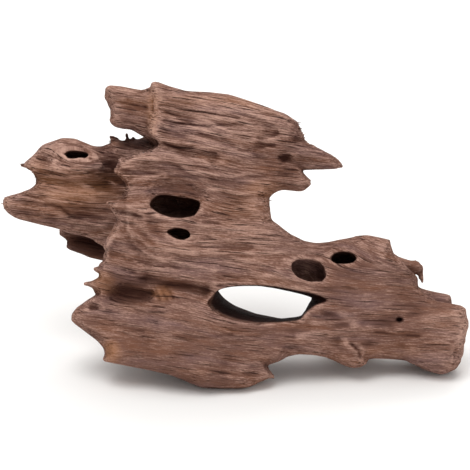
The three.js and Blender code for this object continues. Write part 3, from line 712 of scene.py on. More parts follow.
@dataclass(frozen=True)
class Grain:
    """The way the fibres run: level lines of `level` on the face are fibres.

    Attributes:
        warp: The noise that makes them wander.
        wander: How they wander.
        fall: How far they fall for each mm to the right.
        crown: How much more they fall in the crown, the v where that starts and the height that it takes.
        waist: How much more they fall round the middle, its v and its reach.
        bores: The bores that they part for: the five large ones.
        bore_room: How many mm outside a bore's edge they part.
        bore_stretch: How much longer a detour is along the grain than across it.
        bore_fall: How far they fall near a bore, as the detour counts it.
        bore_bend: How far they part for a bore.
        window: Middle [u, v] of the window.
        window_half: Half the height that they part for there.
        window_stretch: How much longer that detour is along the grain.
        window_bend: How far they part for it.
    """

    warp: Noise
    wander: Wave = Wave(34, 21, 21, 1.6)
    fall: float = 0.10
    crown: tuple[float, float, float] = (0.09, 130, 40)
    waist: tuple[float, float, float] = (0.08, 82, 22)
    bores: tuple[Bore, ...] = BORES[:5]
    bore_room: float = 2.5
    bore_stretch: float = 2.2
    bore_fall: float = 0.13
    bore_bend: float = 0.5
    window: Point = (20, 54)
    window_half: float = 15.0
    window_stretch: float = 2.6
    window_bend: float = 0.3

    def level(self, u: Array, v: Array, w: Array) -> Array:
        """Follows the fibres.

        Args:
            u: The places' u in mm.
            v: Their v.
            w: Their w.

        Returns:
            Each place's height across the fibres in mm, which stays the same along a fibre.
        """
        crown, crown_at, crown_rise = self.crown
        waist, waist_at, waist_reach = self.waist
        fall = (
            self.fall
            + crown * smooth_step((v - crown_at) / crown_rise)
            + waist * np.exp(-(((v - waist_at) / waist_reach) ** 2))
        )
        level = v + fall * u
        for bore in self.bores:
            radius = bore.half[1] + self.bore_room
            du = (u - bore.mouth[0]) / self.bore_stretch
            dv = v - bore.mouth[1] + self.bore_fall * (u - bore.mouth[0])
            near = np.maximum(du * du + dv * dv, radius * radius)
            level = level - self.bore_bend * dv * radius * radius / near
        du, dv = (u - self.window[0]) / self.window_stretch, v - self.window[1]
        near = np.maximum(du**2 + dv**2, self.window_half**2)
        level = level - self.window_bend * dv * self.window_half**2 / near
        return level + self.wander.of(self.warp, u, v, w)


class Seed(Enum):
    """The seeds of the noises."""

    SWELL = 3
    FIBRE = 11
    FLAKE = 23
    TEAR = 31
    WARP = 47


@dataclass
class Weather:
    """What water and sun wore into the wood: swells, flakes, fibres and torn ends.

    Attributes:
        usual: How rough the surface is where no patch says otherwise.
        smoothest: How rough it is at the least.
        swell: Soft swells.
        swell_share: How much of them a calm surface shows, and each unit of roughness adds.
        terrace: How the flakes' edges wander, in flakes.
        flake: Width of a flake in mm.
        flake_drop: Usual height of a flake's broken edge in mm.
        flake_vary: How that height varies.
        flake_sink: The share of it that lies under the plain surface.
        flake_lip: The flake's rising part and its broken edge, as shares of its width.
        dash: Short cuts between fibres.
        dash_depth: Their depth in mm.
        dash_from: The noise's value where they start, and the span over which they get their full depth.
        fine: The fibres themselves.
        side_loss: The share of all these that is lost where the fibres end.
        tear: How many steps the torn ends have, and their bundles' sizes.
        tear_rise: Height of a step in mm, and the share of a step that its edge takes.
        fray: The fibres of the torn ends.
        torn: How much of the tearing a calm surface shows, and each unit of roughness adds.
    """

    usual: float = 0.55
    smoothest: float = 0.08
    swell: Wave = Wave(30, 12, 12)
    swell_share: tuple[float, float] = (0.4, 0.7)
    terrace: Wave = Wave(60, 11, 14, 2.0)
    flake: float = 11.0
    flake_drop: float = 1.3
    flake_vary: Wave = Wave(40, 15, 15, 0.9, 5)
    flake_sink: float = 0.4
    flake_lip: tuple[float, float] = (0.9, 0.1)
    dash: Wave = Wave(17, 2.6, 4)
    dash_depth: float = 0.7
    dash_from: tuple[float, float] = (-0.42, 0.25)
    fine: Wave = Wave(20, 2.3, 3.5, 0.5, 9)
    side_loss: float = 0.6
    tear: Wave = Wave(45, 6.5, 6.5, 2.8)
    tear_rise: tuple[float, float] = (1.1, 0.25)
    fray: Wave = Wave(40, 2.6, 2.6, 0.7, 3)
    torn: tuple[float, float] = (0.3, 0.7)

    def __post_init__(self) -> None:
        """Draws the noises."""
        self.swells = Noise(Seed.SWELL.value)
        self.fibres = Noise(Seed.FIBRE.value)
        self.flakes = Noise(Seed.FLAKE.value)
        self.tears = Noise(Seed.TEAR.value)

    def roughness(self, u: Array, v: Array, w: Array) -> Array:
        """How rough the surface is, from 0 to 1, at places given by their u, v and w."""
        return np.clip(self.usual + total_spread(ROUGH, u, v, w), self.smoothest, 1)

    def height(self, u: Array, level: Array, bed: Array, end_grain: Array, rough: Array) -> Array:
        """Works out the fine relief at places on the surface.

        Args:
            u: Along the grain, in mm.
            level: Across the grain on the face.
            bed: Down into the lobe.
            end_grain: 0 on the side of the fibres, 1 where they end.
            rough: How rough the surface is, from 0 to 1.

        Returns:
            How far the wood stands out there, in mm.
        """
        here = (u, level, bed)
        swell = (self.swell_share[0] + self.swell_share[1] * rough) * self.swell.of(self.swells, *here)
        terrace = self.terrace.of(self.flakes, *here) + level / self.flake
        step = terrace - np.floor(terrace)
        drop = self.flake_drop + self.flake_vary.of(self.swells, *here)
        rise, edge = self.flake_lip
        flakes = drop * (smooth_step(step / rise) - smooth_step((step - rise) / edge) - self.flake_sink)
        start, span = self.dash_from
        dashes = -self.dash_depth * smooth_step((start - self.dash.of(self.fibres, *here)) / span)
        fine = self.fine.of(self.fibres, *here)
        side = (flakes + dashes + fine) * rough * (1 - self.side_loss * end_grain)
        # Across the grain each bundle of fibres breaks off at its own place, in steps.
        ends = self.tear.of(self.tears, *here)
        rise, edge = self.tear_rise
        stepped = np.floor(ends) + smooth_step((ends - np.floor(ends)) / edge)
        torn = rise * stepped + self.fray.of(self.fibres, *here)
        return swell + side + torn * end_grain * (self.torn[0] + self.torn[1] * rough)


@dataclass
class Skin:
    """The wood's closed surface, drawn on a grid from a field that is negative inside.

    Attributes:
        cell: Grid spacing in mm along u, v and w: coarse along the grain and fine across it.
        low: The grid's lowest corner in mm.
        high: The grid's highest corner in mm.
        outside: The field's value far from the wood, in mm.
        lobe_room: Room in mm for the fillets round a lobe.
        dent_room: The same round a hollow.
        bore_room: The same round a bore.
        spike_tip: Radius of a spike's tip in mm, the least that the grid can draw in one piece.
        spike_blend: Width of the fillet at a spike's foot.
        relief_depth: How far in mm from the plain surface the fine relief is worked out.
        end_grain: The share of the surface's way that lies along u where end grain starts, and the span over
            which it becomes full.
        bore_straight: The share of a bore's depth where it starts to close.
        band: Width in mm of the field that is drawn, on both sides of the surface.
    """

    cell: tuple[float, float, float] = (2.2, 1.2, 1.2)
    low: Place = (-158.0, -8.0, -122.0)
    high: Place = (158.0, 205.0, 40.0)
    outside: float = 60.0
    lobe_room: float = 16.0
    dent_room: float = 8.0
    bore_room: float = 6.0
    spike_tip: float = 1.4
    spike_blend: float = 1.0
    relief_depth: float = 9.0
    end_grain: tuple[float, float] = (0.45, 0.4)
    bore_straight: float = 0.45
    band: float = 3.0

    def __post_init__(self) -> None:
        """Lays out the grid's axes.

        bed is how deep a place lies in its lobe, from 0 on its face to twice HALF_BED on its back, so that
        the fibres follow both.
        """
        self.axes = [
            np.arange(low, high, cell, dtype=np.float32)
            for low, high, cell in zip(self.low, self.high, self.cell)
        ]
        self.bed = np.zeros([len(axis) for axis in self.axes], np.float32)
        self.grain = Grain(Noise(Seed.WARP.value))
        self.weather = Weather()

    def cut_round(self, low: Place, high: Place, margin: float) -> Cut:
        """Finds the part of the grid round a box.

        Args:
            low: The box's lowest corner, or one end of a line.
            high: Its highest corner, or the line's other end.
            margin: Room to add on every side, in mm.

        Returns:
            The cut along u, v and w.
        """
        found = []
        for axis, a, b in zip(self.axes, low, high):
            start, stop = np.searchsorted(axis, (min(a, b) - margin, max(a, b) + margin))
            found.append(slice(int(start), int(stop)))
        return found[0], found[1], found[2]

    def places(self, part: Cut) -> tuple[Array, Array, Array]:
        """The u, v and w of a part of the grid, ready to broadcast."""
        u, v, w = (axis[cut] for axis, cut in zip(self.axes, part))
        return u[:, None, None], v[None, :, None], w[None, None, :]

    def add_lobe(self, solid: Array, lobe: Lobe) -> None:
        """Joins one lobe to the field, in place.

        Args:
            solid: The field.
            lobe: What to join.
        """
        us, vs = zip(*lobe.outline)
        depths = [pin[2] for pin in lobe.pins]
        halves = max(pin[3] for pin in lobe.pins)
        low = (min(us), min(vs), min(depths) - halves)
        high = (max(us), max(vs), max(depths) + halves)
        part = self.cut_round(low, high, self.lobe_room)
        u, v, w = self.places(part)
        flat = (u[:, :, 0], v[:, :, 0])
        edge, relief, depth, half, rim = (
            value[:, :, None].astype(np.float32)
            for value in (
                inset(lobe.outline, *flat),
                self.relief(lobe.strokes + lobe.fine, *flat),
                *self.thickness(lobe, *flat),
            )
        )
        across = np.maximum(0, 1 - edge / (half * rim))
        out = (w - depth) / half
        raised = relief * smooth_step(out)
        found = (np.hypot(across, out) - 1) * half - raised
        bed = HALF_BED * (1 - out + raised / half) + BED_TILT * w
        self.bed[part] = np.where(found < solid[part], bed, self.bed[part])
        solid[part] = smooth_min(solid[part], found, lobe.blend)

    @staticmethod
    def thickness(lobe: Lobe, u: Array, v: Array) -> Array:
        """Averages a lobe's pins, the near ones first.

        Args:
            lobe: The lobe.
            u: The places' u.
            v: Their v.

        Returns:
            Depth, half thickness and rim at each place.
        """
        total = np.zeros(np.broadcast(u, v).shape)
        mean = np.zeros((3,) + total.shape)
        for pin_u, pin_v, *values in lobe.pins:
            weight = 1 / (1 + ((u - pin_u) ** 2 + (v - pin_v) ** 2) / PIN_REACH**2) ** 3
            total += weight
            mean += weight * np.array(values).reshape((3,) + (1,) * total.ndim)
        return mean / total

    @staticmethod
    def relief(strokes: tuple[Stroke, ...], u: Array, v: Array) -> Array:
        """Adds up ridges and grooves.

        Args:
            strokes: The ridges and grooves.
            u: The places' u.
            v: Their v.

        Returns:
            How far the face stands out at each place, in mm.
        """
        height = np.zeros(np.broadcast(u, v).shape)
        for stroke in strokes:
            nearest = np.full(height.shape, np.inf)
            reach = np.ones(height.shape)
            for a, b in zip(stroke.path, stroke.path[1:]):
                d = to_segment(u, v, a, b)
                on_left = (b[0] - a[0]) * (v - a[1]) > (b[1] - a[1]) * (u - a[0])
                closer = d < nearest
                reach = np.where(closer, np.where(on_left, stroke.width[1], stroke.width[0]), reach)
                nearest = np.where(closer, d, nearest)
            height += stroke.height * np.exp(-((nearest / reach) ** 2))
        return height

    def add_root(self, solid: Array, root: Root) -> None:
        """Joins one root to the field, in place.

        Args:
            solid: The field.
            root: What to join.
        """
        part = self.cut_round(root.start, root.end, max(root.radius) + root.blend)
        t, away = to_axis(self.places(part), root.start, root.end)
        radius = root.radius[0] + (root.radius[1] - root.radius[0]) * t
        solid[part] = smooth_min(solid[part], (away - radius).astype(np.float32), root.blend)

    def add_spike(self, solid: Array, spike: Spike) -> None:
        """Joins one splintered point to the field, in place.

        Args:
            solid: The field.
            spike: What to join.
        """
        part = self.cut_round(spike.foot, spike.tip, spike.radius + 2 * self.spike_blend)
        t, away = to_axis(self.places(part), spike.foot, spike.tip)
        radius = np.maximum(spike.radius * (1 - t), self.spike_tip)
        solid[part] = smooth_min(solid[part], (away - radius).astype(np.float32), self.spike_blend)

    def cut_dent(self, solid: Array, dent: Dent) -> None:
        """Wears one soft hollow into the field, in place.

        Args:
            solid: The field.
            dent: What to take away.
        """
        reach = [h + dent.blend for h in dent.half]
        low = tuple(c - r for c, r in zip(dent.centre, reach))
        high = tuple(c + r for c, r in zip(dent.centre, reach))
        part = self.cut_round(low, high, self.dent_room)
        u, v, w = self.places(part)
        turn = math.radians(dent.tilt)
        du, dv = u - dent.centre[0], v - dent.centre[1]
        local = (
            du * math.cos(turn) + dv * math.sin(turn),
            dv * math.cos(turn) - du * math.sin(turn),
            w - dent.centre[2],
        )
        # The distance to an ellipsoid, near enough: its scaled radius over the slope of that.
        scaled = np.sqrt(sum((c / h) ** 2 for c, h in zip(local, dent.half)))
        steep = np.sqrt(sum((c / h**2) ** 2 for c, h in zip(local, dent.half)))
        tiny = 1e-4
        found = scaled * (scaled - 1) / np.maximum(steep, tiny)
        found = np.where(steep < tiny, -min(dent.half), found).astype(np.float32)
        solid[part] = -smooth_min(-solid[part], found, dent.blend)

    @staticmethod
    def bore_section(bore: Bore, u: Array, v: Array, w: Array) -> tuple[Array, Array]:
        """Measures places against a bore.

        Args:
            bore: The bore.
            u: The places' u.
            v: Their v.
            w: Their w.

        Returns:
            The distance to its straight side, negative inside, and the depth: 0 at its mouth, 1 at its end.
        """
        way = [b - a for a, b in zip(bore.mouth, bore.end)]
        depth = (w - bore.mouth[2]) / way[2]
        inner = np.clip(depth, 0, 1)
        du = u - bore.mouth[0] - inner * way[0]
        dv = v - bore.mouth[1] - inner * way[1]
        if bore.outline:
            return -inset(bore.outline, bore.mouth[0] + du, bore.mouth[1] + dv), depth
        turn = math.radians(bore.tilt)
        along = (du * math.cos(turn) + dv * math.sin(turn)) / bore.half[0]
        across = (dv * math.cos(turn) - du * math.sin(turn)) / bore.half[1]
        return (np.hypot(along, across) - 1) * bore.half[1], depth

    def cut_bore(self, solid: Array, bore: Bore) -> None:
        """Cuts one bored hole with a rounded end into the field, in place.

        Args:
            solid: The field.
            bore: What to take away.
        """
        reach = max(bore.half)
        low = tuple(min(a, b) - reach for a, b in zip(bore.mouth, bore.end))
        high = tuple(max(a, b) + reach for a, b in zip(bore.mouth, bore.end))
        part = self.cut_round(low, high, self.bore_room)
        side, depth = self.bore_section(bore, *self.places(part))
        closing = np.clip((depth - self.bore_straight) / (1 - self.bore_straight), 0, 1)
        narrower = 1 - np.sqrt(np.clip(1 - closing**2, 0, 1))
        side = side + narrower * bore.half[1]
        found = np.maximum(side, (depth - 1) * abs(bore.end[2] - bore.mouth[2])).astype(np.float32)
        solid[part] = -smooth_min(-solid[part], found, bore.lip)

    def cut_window(self, solid: Array, window: Window) -> None:
        """Cuts the window's way through into the field, in place.

        Args:
            solid: The field.
            window: What to take away.
        """
        low, high = window.box
        part = self.cut_round((*low, self.low[2]), (*high, self.high[2]), 0)
        u, v, w = self.places(part)
        flat_u, flat_v = u[:, :, 0], v[:, :, 0]
        # To the back it spreads from its middle, and upwards from a millimetre under its sill.
        middle = sum(a for a, _ in window.throat) / len(window.throat)
        sill = min(b for _, b in window.throat) - 1
        wide = tuple(
            (middle + (a - middle) * window.back_spread[0], sill + (b - sill) * window.back_spread[1])
            for a, b in window.throat
        )
        rim, throat, back = (
            -inset(outline, flat_u, flat_v)[:, :, None] for outline in (window.rim, window.throat, wide)
        )
        # The distance to each outline turns into the distance to the next one as the way goes in.
        to_throat = np.clip((window.rim_at - w) / (window.rim_at - window.throat_at), 0, 1)
        to_back = np.clip((window.throat_at - w) / (window.throat_at - window.back_at), 0, 1)
        front = rim + (throat - rim) * to_throat
        way = (front + (back - throat) * to_back).astype(np.float32)
        solid[part] = -smooth_min(-solid[part], way, window.lip)

    def field(self) -> Array:
        """Puts the plain wood together.

        Returns:
            The field of the wood without its fine relief.
        """
        solid = np.full([len(axis) for axis in self.axes], self.outside, np.float32)
        for lobe in LOBES:
            self.add_lobe(solid, lobe)
        for root in ROOTS:
            self.add_root(solid, root)
        for dent in DENTS:
            self.cut_dent(solid, dent)
        return solid

    def weathered(self, solid: Array) -> Array:
        """Adds the relief, the spikes and the holes.

        Args:
            solid: The field of the plain wood.

        Returns:
            The field of the finished wood, cut off flat at the floor.
        """
        near = np.nonzero(np.abs(solid) < self.relief_depth)
        u, v, w = (axis[index] for axis, index in zip(self.axes, near))
        steep = np.gradient(solid, *self.cell)
        length = np.sqrt(sum(g[near] ** 2 for g in steep)) + 1e-6
        start, span = self.end_grain
        end_grain = smooth_step((np.abs(steep[0][near]) / length - start) / span)
        level = self.grain.level(u, v, w)
        rough = self.weather.roughness(u, v, w)
        solid[near] -= self.weather.height(u, level, self.bed[near], end_grain, rough)
        for spike in SPIKES:
            self.add_spike(solid, spike)
        for bore in BORES:
            self.cut_bore(solid, bore)
        self.cut_window(solid, WINDOW)
        u, v, w = self.places((slice(None),) * 3)
        floor = WORN_FLAT - v * math.cos(LEAN) - w * math.sin(LEAN)
        return np.maximum(solid, floor)

    def bed_at(self, points: Array) -> Array:
        """Reads the bed between the grid's places.

        Args:
            points: Points in the face's frame, in mm.

        Returns:
            How deep in its lobe each point lies.
        """
        place = (points - np.array(self.low)) / np.array(self.cell)
        below = np.floor(place).astype(int)
        return read_between(self.bed, list(below.T), list((place - below).T))

    def mesh(self) -> tuple[Array, Array]:
        """Draws the surface.

        Returns:
            Its points in the face's frame in mm, and its quads.
        """
        solid = self.weathered(self.field())
        grid = openvdb.FloatGrid()
        grid.background = self.band
        grid.copyFromArray(np.clip(solid, -self.band, self.band))
        points, quads = grid.convertToQuads(0.0)
        points = points * np.array(self.cell) + np.array(self.low)
        return self.largest(points, quads)

    @staticmethod
    def largest(points: Array, quads: Array) -> tuple[Array, Array]:
        """Keeps the largest connected skin: crumbs that the grid cut loose are left out.

        Args:
            points: All points.
            quads: All quads.

        Returns:
            The points and quads that stay.
        """
        label = np.arange(len(points))
        while True:
            lowest = label[quads].min(axis=1)
            before = label.copy()
            for k in range(4):
                np.minimum.at(label, quads[:, k], lowest)
            label = label[label]
            if np.array_equal(before, label):
                break
        main = np.bincount(label[quads[:, 0]]).argmax()
        quads = quads[label[quads[:, 0]] == main]
        used, flat = np.unique(quads, return_inverse=True)
        return points[used], flat.reshape(quads.shape)


def hex_colour(code: str) -> tuple[float, float, float, float]:
    """Turns an sRGB hex code into the linear colour that a shader takes.

    Args:
        code: The code, such as "#715146".

    Returns:
        Red, green, blue and an alpha of 1.
    """
    parts = (int(code[i : i + 2], 16) / 255 for i in (1, 3, 5))
    linear = [c / 12.92 if c <= 0.04045 else ((c + 0.055) / 1.055) ** 2.4 for c in parts]
    return linear[0], linear[1], linear[2], 1.0


def add_node(tree: bpy.types.NodeTree, kind: str, inputs: dict | None = None, **settings) -> bpy.types.Node:
    """Adds a node.

    Args:
        tree: The node tree that it goes into.
        kind: The node's type name.
        inputs: Socket name or number to a value, or to the socket that feeds it.
        **settings: The node's own properties.

    Returns:
        The new node.
    """
    node = tree.nodes.new(kind)
    for name, value in settings.items():
        setattr(node, name, value)
    for key, value in (inputs or {}).items():
        if isinstance(value, bpy.types.NodeSocket):
            tree.links.new(value, node.inputs[key])
        else:
            node.inputs[key].default_value = value
    return node


# Paler above 0 and darker below it: the wood's own tone, with painted shade and painted light in places.
TONES = (
    Patch((-112, 150), (30, 10), 0.35, (-60, 60)),
    Patch((-108, 126), (30, 9), 0.4, (-60, 60)),
    Patch((-114, 112), (30, 8), -0.9, (-60, 60)),
    Patch((-105, 135), (18, 5), 0.3, (-60, 60)),
    Patch((-62, 175), (12, 15), -0.5),
    Patch((-53, 178), (3, 18), 1.2),
    Patch((-5, 170), (42, 16), 0.3),
    Patch((10, 152), (40, 5), -0.3),
    # Painted shade in the crevices under the crown's lower left.
    Patch((-80, 136), (13, 13), -1.2, (-60, 60)),
    Patch((-66, 157), (14, 4), -1.2, (-60, 60)),
    Patch((-35, 128), (20, 7), -0.25),
    Patch((5, 108), (34, 9), 0.25),
    # Painted shade in the recess and the groove under the overhang.
    Patch((-69, 63), (17, 11.5), -1.0),
    Patch((-38, 67), (12, 3.5), -1.0),
    Patch((-45, 61), (7, 6), -0.6),
    # Painted shade on the shell behind the arm, over its darker wood.
    Patch((-88, 92), (30, 10), -2.2, (-80, -46)),
    Patch((100, 52), (28, 18), -0.3),
    Patch((148, 32), (5, 24), 0.9),
    Patch((132, 38), (14, 12), 0.35),
    Patch((105, 28), (16, 7), 0.3),
    # Painted shade in the recess by the right tip and the crevice at the crown's right edge.
    Patch((35, 146), (10, 5), -0.8),
    Patch((39, 164), (3, 9), -1.2),
    Patch((-30, 4), (50, 4), -0.5),
    Patch((118, 76), (6, 8), -0.7, (-60, 60)),
    Patch((-74, 95), (10, 17), 0.5),
    Patch((-30, 28), (50, 20), -0.35),
    Patch((86, 72), (26, 14), -0.3),
    Patch((58, 146), (13, 7), -0.5),
    # Painted light inside the round bore.
    Patch((47, 76), (9, 6), 1.4, (-30, 2)),
    Patch((-30, 87), (30, 8), 0.2),
    Patch((-20, 152), (30, 5), 0.7),
    Patch((-10, 92), (40, 14), 0.4),
    Patch((-60, 104), (8, 8), 0.4),
    Patch((118, 40), (26, 22), -0.25),
    Patch((-95, 155), (26, 7), -0.3, (-60, 60)),
    Patch((-35, 8), (50, 6), -0.35),
)

# Deep shade and dirt where the wood overhangs.
SHADES = (
    Patch((-88, 92), (34, 11), 0.55, (-80, -46)),
    Patch((-72, 141), (16, 9), 0.4, (-60, -6)),
    Patch((-60, 157), (13, 4), 0.55, (-60, 60)),
    Patch((-70, 64), (17, 10), 0.28),
    Patch((-38, 66), (10, 2.5), 0.5),
    Patch((114, 74), (7, 4), 0.5, (-60, 60)),
    Patch((-78, 161.5), (3.5, 2.5), 0.7, (-60, 60)),
    Patch((-68.5, 162.5), (4, 3), 0.75, (-60, 60)),
    Patch((-92, 33), (6, 5), 0.5),
    Patch((78, 25), (3, 5), 0.35),
    Patch((57, 47), (6, 3), 0.25),
    Patch((40, 146), (8, 4), 0.3),
    Patch((-129, 135), (4, 5), 0.4, (-60, 60)),
)

# Ochre wood that the weather laid bare.
OCHRES = (
    Patch((-53, 176), (3.5, 16), 0.6),
    Patch((-79, 24), (6, 8), 1.2, (6, 60)),
    Patch((-46, 61), (7, 5.5), 1.1),
    Patch((-106, 128), (30, 14), 0.85, (-60, 60)),
    Patch((-84, 68), (8, 8), 0.8),
    Patch((-20, 184), (44, 5), 0.45),
    Patch((-128, 140), (8, 8), 0.5, (-60, 60)),
    Patch((20, 128), (14, 6), 0.6),
    Patch((2, 114), (22, 9), 0.45),
    Patch((105, 24), (22, 6), 0.35),
)


class Mark(Enum):
    """What each point of the skin tells the material."""

    GRAIN = "grain"
    TONE = "tone"
    OCHRE = "ochre"
    # Painted shade and grime in the bores, the window, the checks and under overhangs.
    PIT = "pit"
    ROUGH = "rough"
    # Painted highlight on crests and painted shade in creases.
    EDGE = "edge"
    # Painted shade in the hollows.
    HOLLOW_SHADE = "hollow_shade"
    TORN = "torn"


class Streak(Enum):
    """Patterns drawn out along the grain: length and width of their spots in mm, and their octaves.

    Real fibres are a few hundredths of a millimetre wide. Hairs and fibres are drawn as coarse as they need
    to be to show from a step away.
    """

    HAIRS = (8.0, 0.45, 2)
    FIBRES = (15.0, 0.62, 3)
    BUNDLES = (45.0, 2.4, 2)
    CLOUDS = (42.0, 13.0, 3)
    HUES = (50.0, 9.0, 3)
    CHECKS = (22.0, 0.9, 2)
    SPECKS = (1.6, 0.65, 2)


BED_SHARE = 0.45  # spots are longer down into the wood than across it, so that slopes don't cut them short


@dataclass(frozen=True)
class Share:
    """One share of a layer's strength.

    Attributes:
        source: The mark or the streak that it follows.
        weight: How much it counts.
        low: The source's value that counts as 0.
        high: The source's value that counts as 1. Streaks are cut off there, marks are not.
        by: A mark that the share is multiplied by, if any.
    """

    source: Mark | Streak
    weight: float = 1.0
    low: float = 0.0
    high: float = 1.0
    by: Mark | None = None


@dataclass(frozen=True)
class Layer:
    """A colour laid over the ones before it.

    Attributes:
        colour: The colour.
        low: The sum of the shares where it starts to show.
        high: The sum where it covers in full.
        shares: What its strength is made of.
    """

    colour: str
    low: float
    high: float
    shares: tuple[Share, ...]


# With the fibres' own colour, the three browns that the ground wanders between.
GROUND = (
    Layer("#76503f", 0, 1, (Share(Streak.HUES, 1, 0.5, 0.68),)),
    Layer("#765954", 0, 1, (Share(Streak.HUES, 1, 0.48, 0.32),)),
)

# Fibres that the sun bleached, and painted highlights on raised edges above all.
BLEACHED_AND_HIGHLIT = Layer(
    "#c09a8a",
    0.75,
    2.25,
    (
        Share(Streak.FIBRES, 1.2, 0.37, 0.66, Mark.ROUGH),
        Share(Streak.HAIRS, 0.85, 0.38, 0.62),
        Share(Streak.CLOUDS, 0.4, 0.4, 0.68),
        Share(Streak.BUNDLES, 0.15, 0.42, 0.65),
        Share(Streak.SPECKS, 0.4, 0.4, 0.65),
        Share(Mark.TONE, 0.55),
        Share(Mark.EDGE, 0.5),
        Share(Mark.ROUGH, -0.3),
    ),
)

# Dirt in the lines between the fibres, and painted shade in every hollow and crease.
DIRT_AND_HOLLOW_SHADE = Layer(
    "#38201a",
    0.4,
    1.95,
    (
        Share(Streak.BUNDLES, 0.35, 0.54, 0.34),
        Share(Streak.FIBRES, 1.15, 0.47, 0.33, Mark.ROUGH),
        Share(Mark.TONE, -0.5),
        Share(Mark.EDGE, -0.55),
        Share(Mark.HOLLOW_SHADE, 0.9),
        Share(Mark.ROUGH, 0.45),
    ),
)

# Bare wood under a torn flake.
BARE = Layer("#9c6a45", 0.15, 2.2, (Share(Mark.OCHRE), Share(Streak.CLOUDS, 0.3, 0.45, 0.7)))

# Drying checks and pores: the deepest lows of their streaks, and more of them in rough wood and torn ends.
CHECKED = Layer(
    "#2e1a15",
    0,
    1,
    (
        Share(Streak.CHECKS, 1, 0.41, 0.33),
        Share(Streak.SPECKS, 0.7, 0.35, 0.28),
        Share(Mark.TORN, 0.2),
        Share(Mark.ROUGH, -0.4, 1, 0),
    ),
)

# Painted deep shade and old grime: in the bores, on the window's inner wall, in the checks and under
# overhangs.
DEEP_SHADE_AND_DIRT = Layer("#2e1713", 0, 1, (Share(Mark.PIT),))


@dataclass(frozen=True)
class DriftwoodFinish:
    """Dry root wood, worn by water and bleached by the sun: matt, in greys and browns with pale edges that are
    partly painted highlight.

    Attributes:
        name: The material's name.
        fibre: The usual colour.
        layers: What lies over it, from the bottom up.
        crumble: How much each finer octave of a streak counts against the one before it.
        relief: What stands up from the surface, too fine for the mesh.
        relief_height: Height in mm of that relief.
        relief_strength: How much of it the light shows.
        matt: Roughness of the darkest and of the palest fibres.
        matt_range: Values of the fibres' streak that count as darkest and palest.
        ior: Index of refraction of wood.
        sheen: Strength of the reflection. Worn wood has almost none, so that its holes stay dark.
    """

    name: str = "weathered root wood"
    fibre: str = "#715146"
    layers: tuple[Layer, ...] = (*GROUND, BLEACHED_AND_HIGHLIT, DIRT_AND_HOLLOW_SHADE, BARE, CHECKED, DEEP_SHADE_AND_DIRT)
    crumble: float = 0.6
    relief: tuple[Share, ...] = (
        Share(Streak.FIBRES),
        Share(Streak.HAIRS, 0.4),
        Share(Streak.SPECKS, 0.3),
        Share(Streak.CHECKS, -0.5, 0.41, 0.33),
    )
    relief_height: float = 1.0
    relief_strength: float = 0.9
    matt: Point = (0.95, 0.8)
    matt_range: Point = (0.3, 0.7)
    ior: float = 1.45
    sheen: float = 0.05

    def sources(self, tree: bpy.types.NodeTree) -> dict[Mark | Streak, bpy.types.NodeSocket]:
        """Adds a node for each mark and each streak.

        Args:
            tree: The material's tree.

        Returns:
            The socket that gives each one's value.
        """
        found: dict[Mark | Streak, bpy.types.NodeSocket] = {}
        for mark in Mark:
            read = add_node(tree, "ShaderNodeAttribute", attribute_name=mark.value)
            found[mark] = read.outputs["Vector" if mark is Mark.GRAIN else "Fac"]
        for streak in Streak:
            along, across, octaves = streak.value
            drawn = add_node(
                tree,
                "ShaderNodeMapping",
                {"Vector": found[Mark.GRAIN], "Scale": (1 / along, 1 / across, BED_SHARE / across)},
            )
            noise = add_node(
                tree,
                "ShaderNodeTexNoise",
                {"Vector": drawn.outputs[0], "Scale": 1.0, "Detail": octaves, "Roughness": self.crumble},
            )
            found[streak] = noise.outputs[0]
        return found

    @staticmethod
    def strength(
        tree: bpy.types.NodeTree,
        found: dict[Mark | Streak, bpy.types.NodeSocket],
        shares: tuple[Share, ...],
    ) -> bpy.types.NodeSocket:
        """Adds up some shares.

        Args:
            tree: The material's tree.
            found: The socket of each source.
            shares: What to add up.

        Returns:
            The socket with their sum.
        """
        total: float | bpy.types.NodeSocket = 0.0
        for share in shares:
            ranged = add_node(
                tree,
                "ShaderNodeMapRange",
                {"Value": found[share.source], "From Min": share.low, "From Max": share.high},
                clamp=isinstance(share.source, Streak),
            )
            weight: float | bpy.types.NodeSocket = share.weight
            if share.by:
                scaled = add_node(
                    tree, "ShaderNodeMath", {0: found[share.by], 1: share.weight}, operation="MULTIPLY"
                )
                weight = scaled.outputs[0]
            added = add_node(
                tree, "ShaderNodeMath", {0: ranged.outputs[0], 1: weight, 2: total}, operation="MULTIPLY_ADD"
            )
            total = added.outputs[0]
        return total

    def material(self) -> bpy.types.Material:
        """Builds the material.

        Returns:
            The material with its node tree, which reads the marks of the skin.
        """
        made = bpy.data.materials.new(self.name)
        made.use_nodes = True
        tree = made.node_tree
        tree.nodes.clear()
        found = self.sources(tree)
        colour = hex_colour(self.fibre)
        for layer in self.layers:
            total = self.strength(tree, found, layer.shares)
            cover = add_node(
                tree, "ShaderNodeMapRange", {"Value": total, "From Min": layer.low, "From Max": layer.high}
            )
            mixed = add_node(
                tree,
                "ShaderNodeMix",
                {0: cover.outputs[0], 6: colour, 7: hex_colour(layer.colour)},
                data_type="RGBA",
            )
            colour = mixed.outputs[2]
        bump = add_node(
            tree,
            "ShaderNodeBump",
            {
                "Height": self.strength(tree, found, self.relief),
                "Strength": self.relief_strength,
                "Distance": self.relief_height * MM,
            },
        )
        dull = add_node(
            tree,
            "ShaderNodeMapRange",
            {
                "Value": found[Streak.FIBRES],
                "From Min": self.matt_range[0],
                "From Max": self.matt_range[1],
                "To Min": self.matt[0],
                "To Max": self.matt[1],
            },
        )
        shader = add_node(
            tree,
            "ShaderNodeBsdfPrincipled",
            {
                "Base Color": colour,
                "Roughness": dull.outputs[0],
                "Normal": bump.outputs[0],
                "IOR": self.ior,
                "Specular IOR Level": self.sheen,
            },
        )
        add_node(tree, "ShaderNodeOutputMaterial", {"Surface": shader.outputs[0]})
        return made


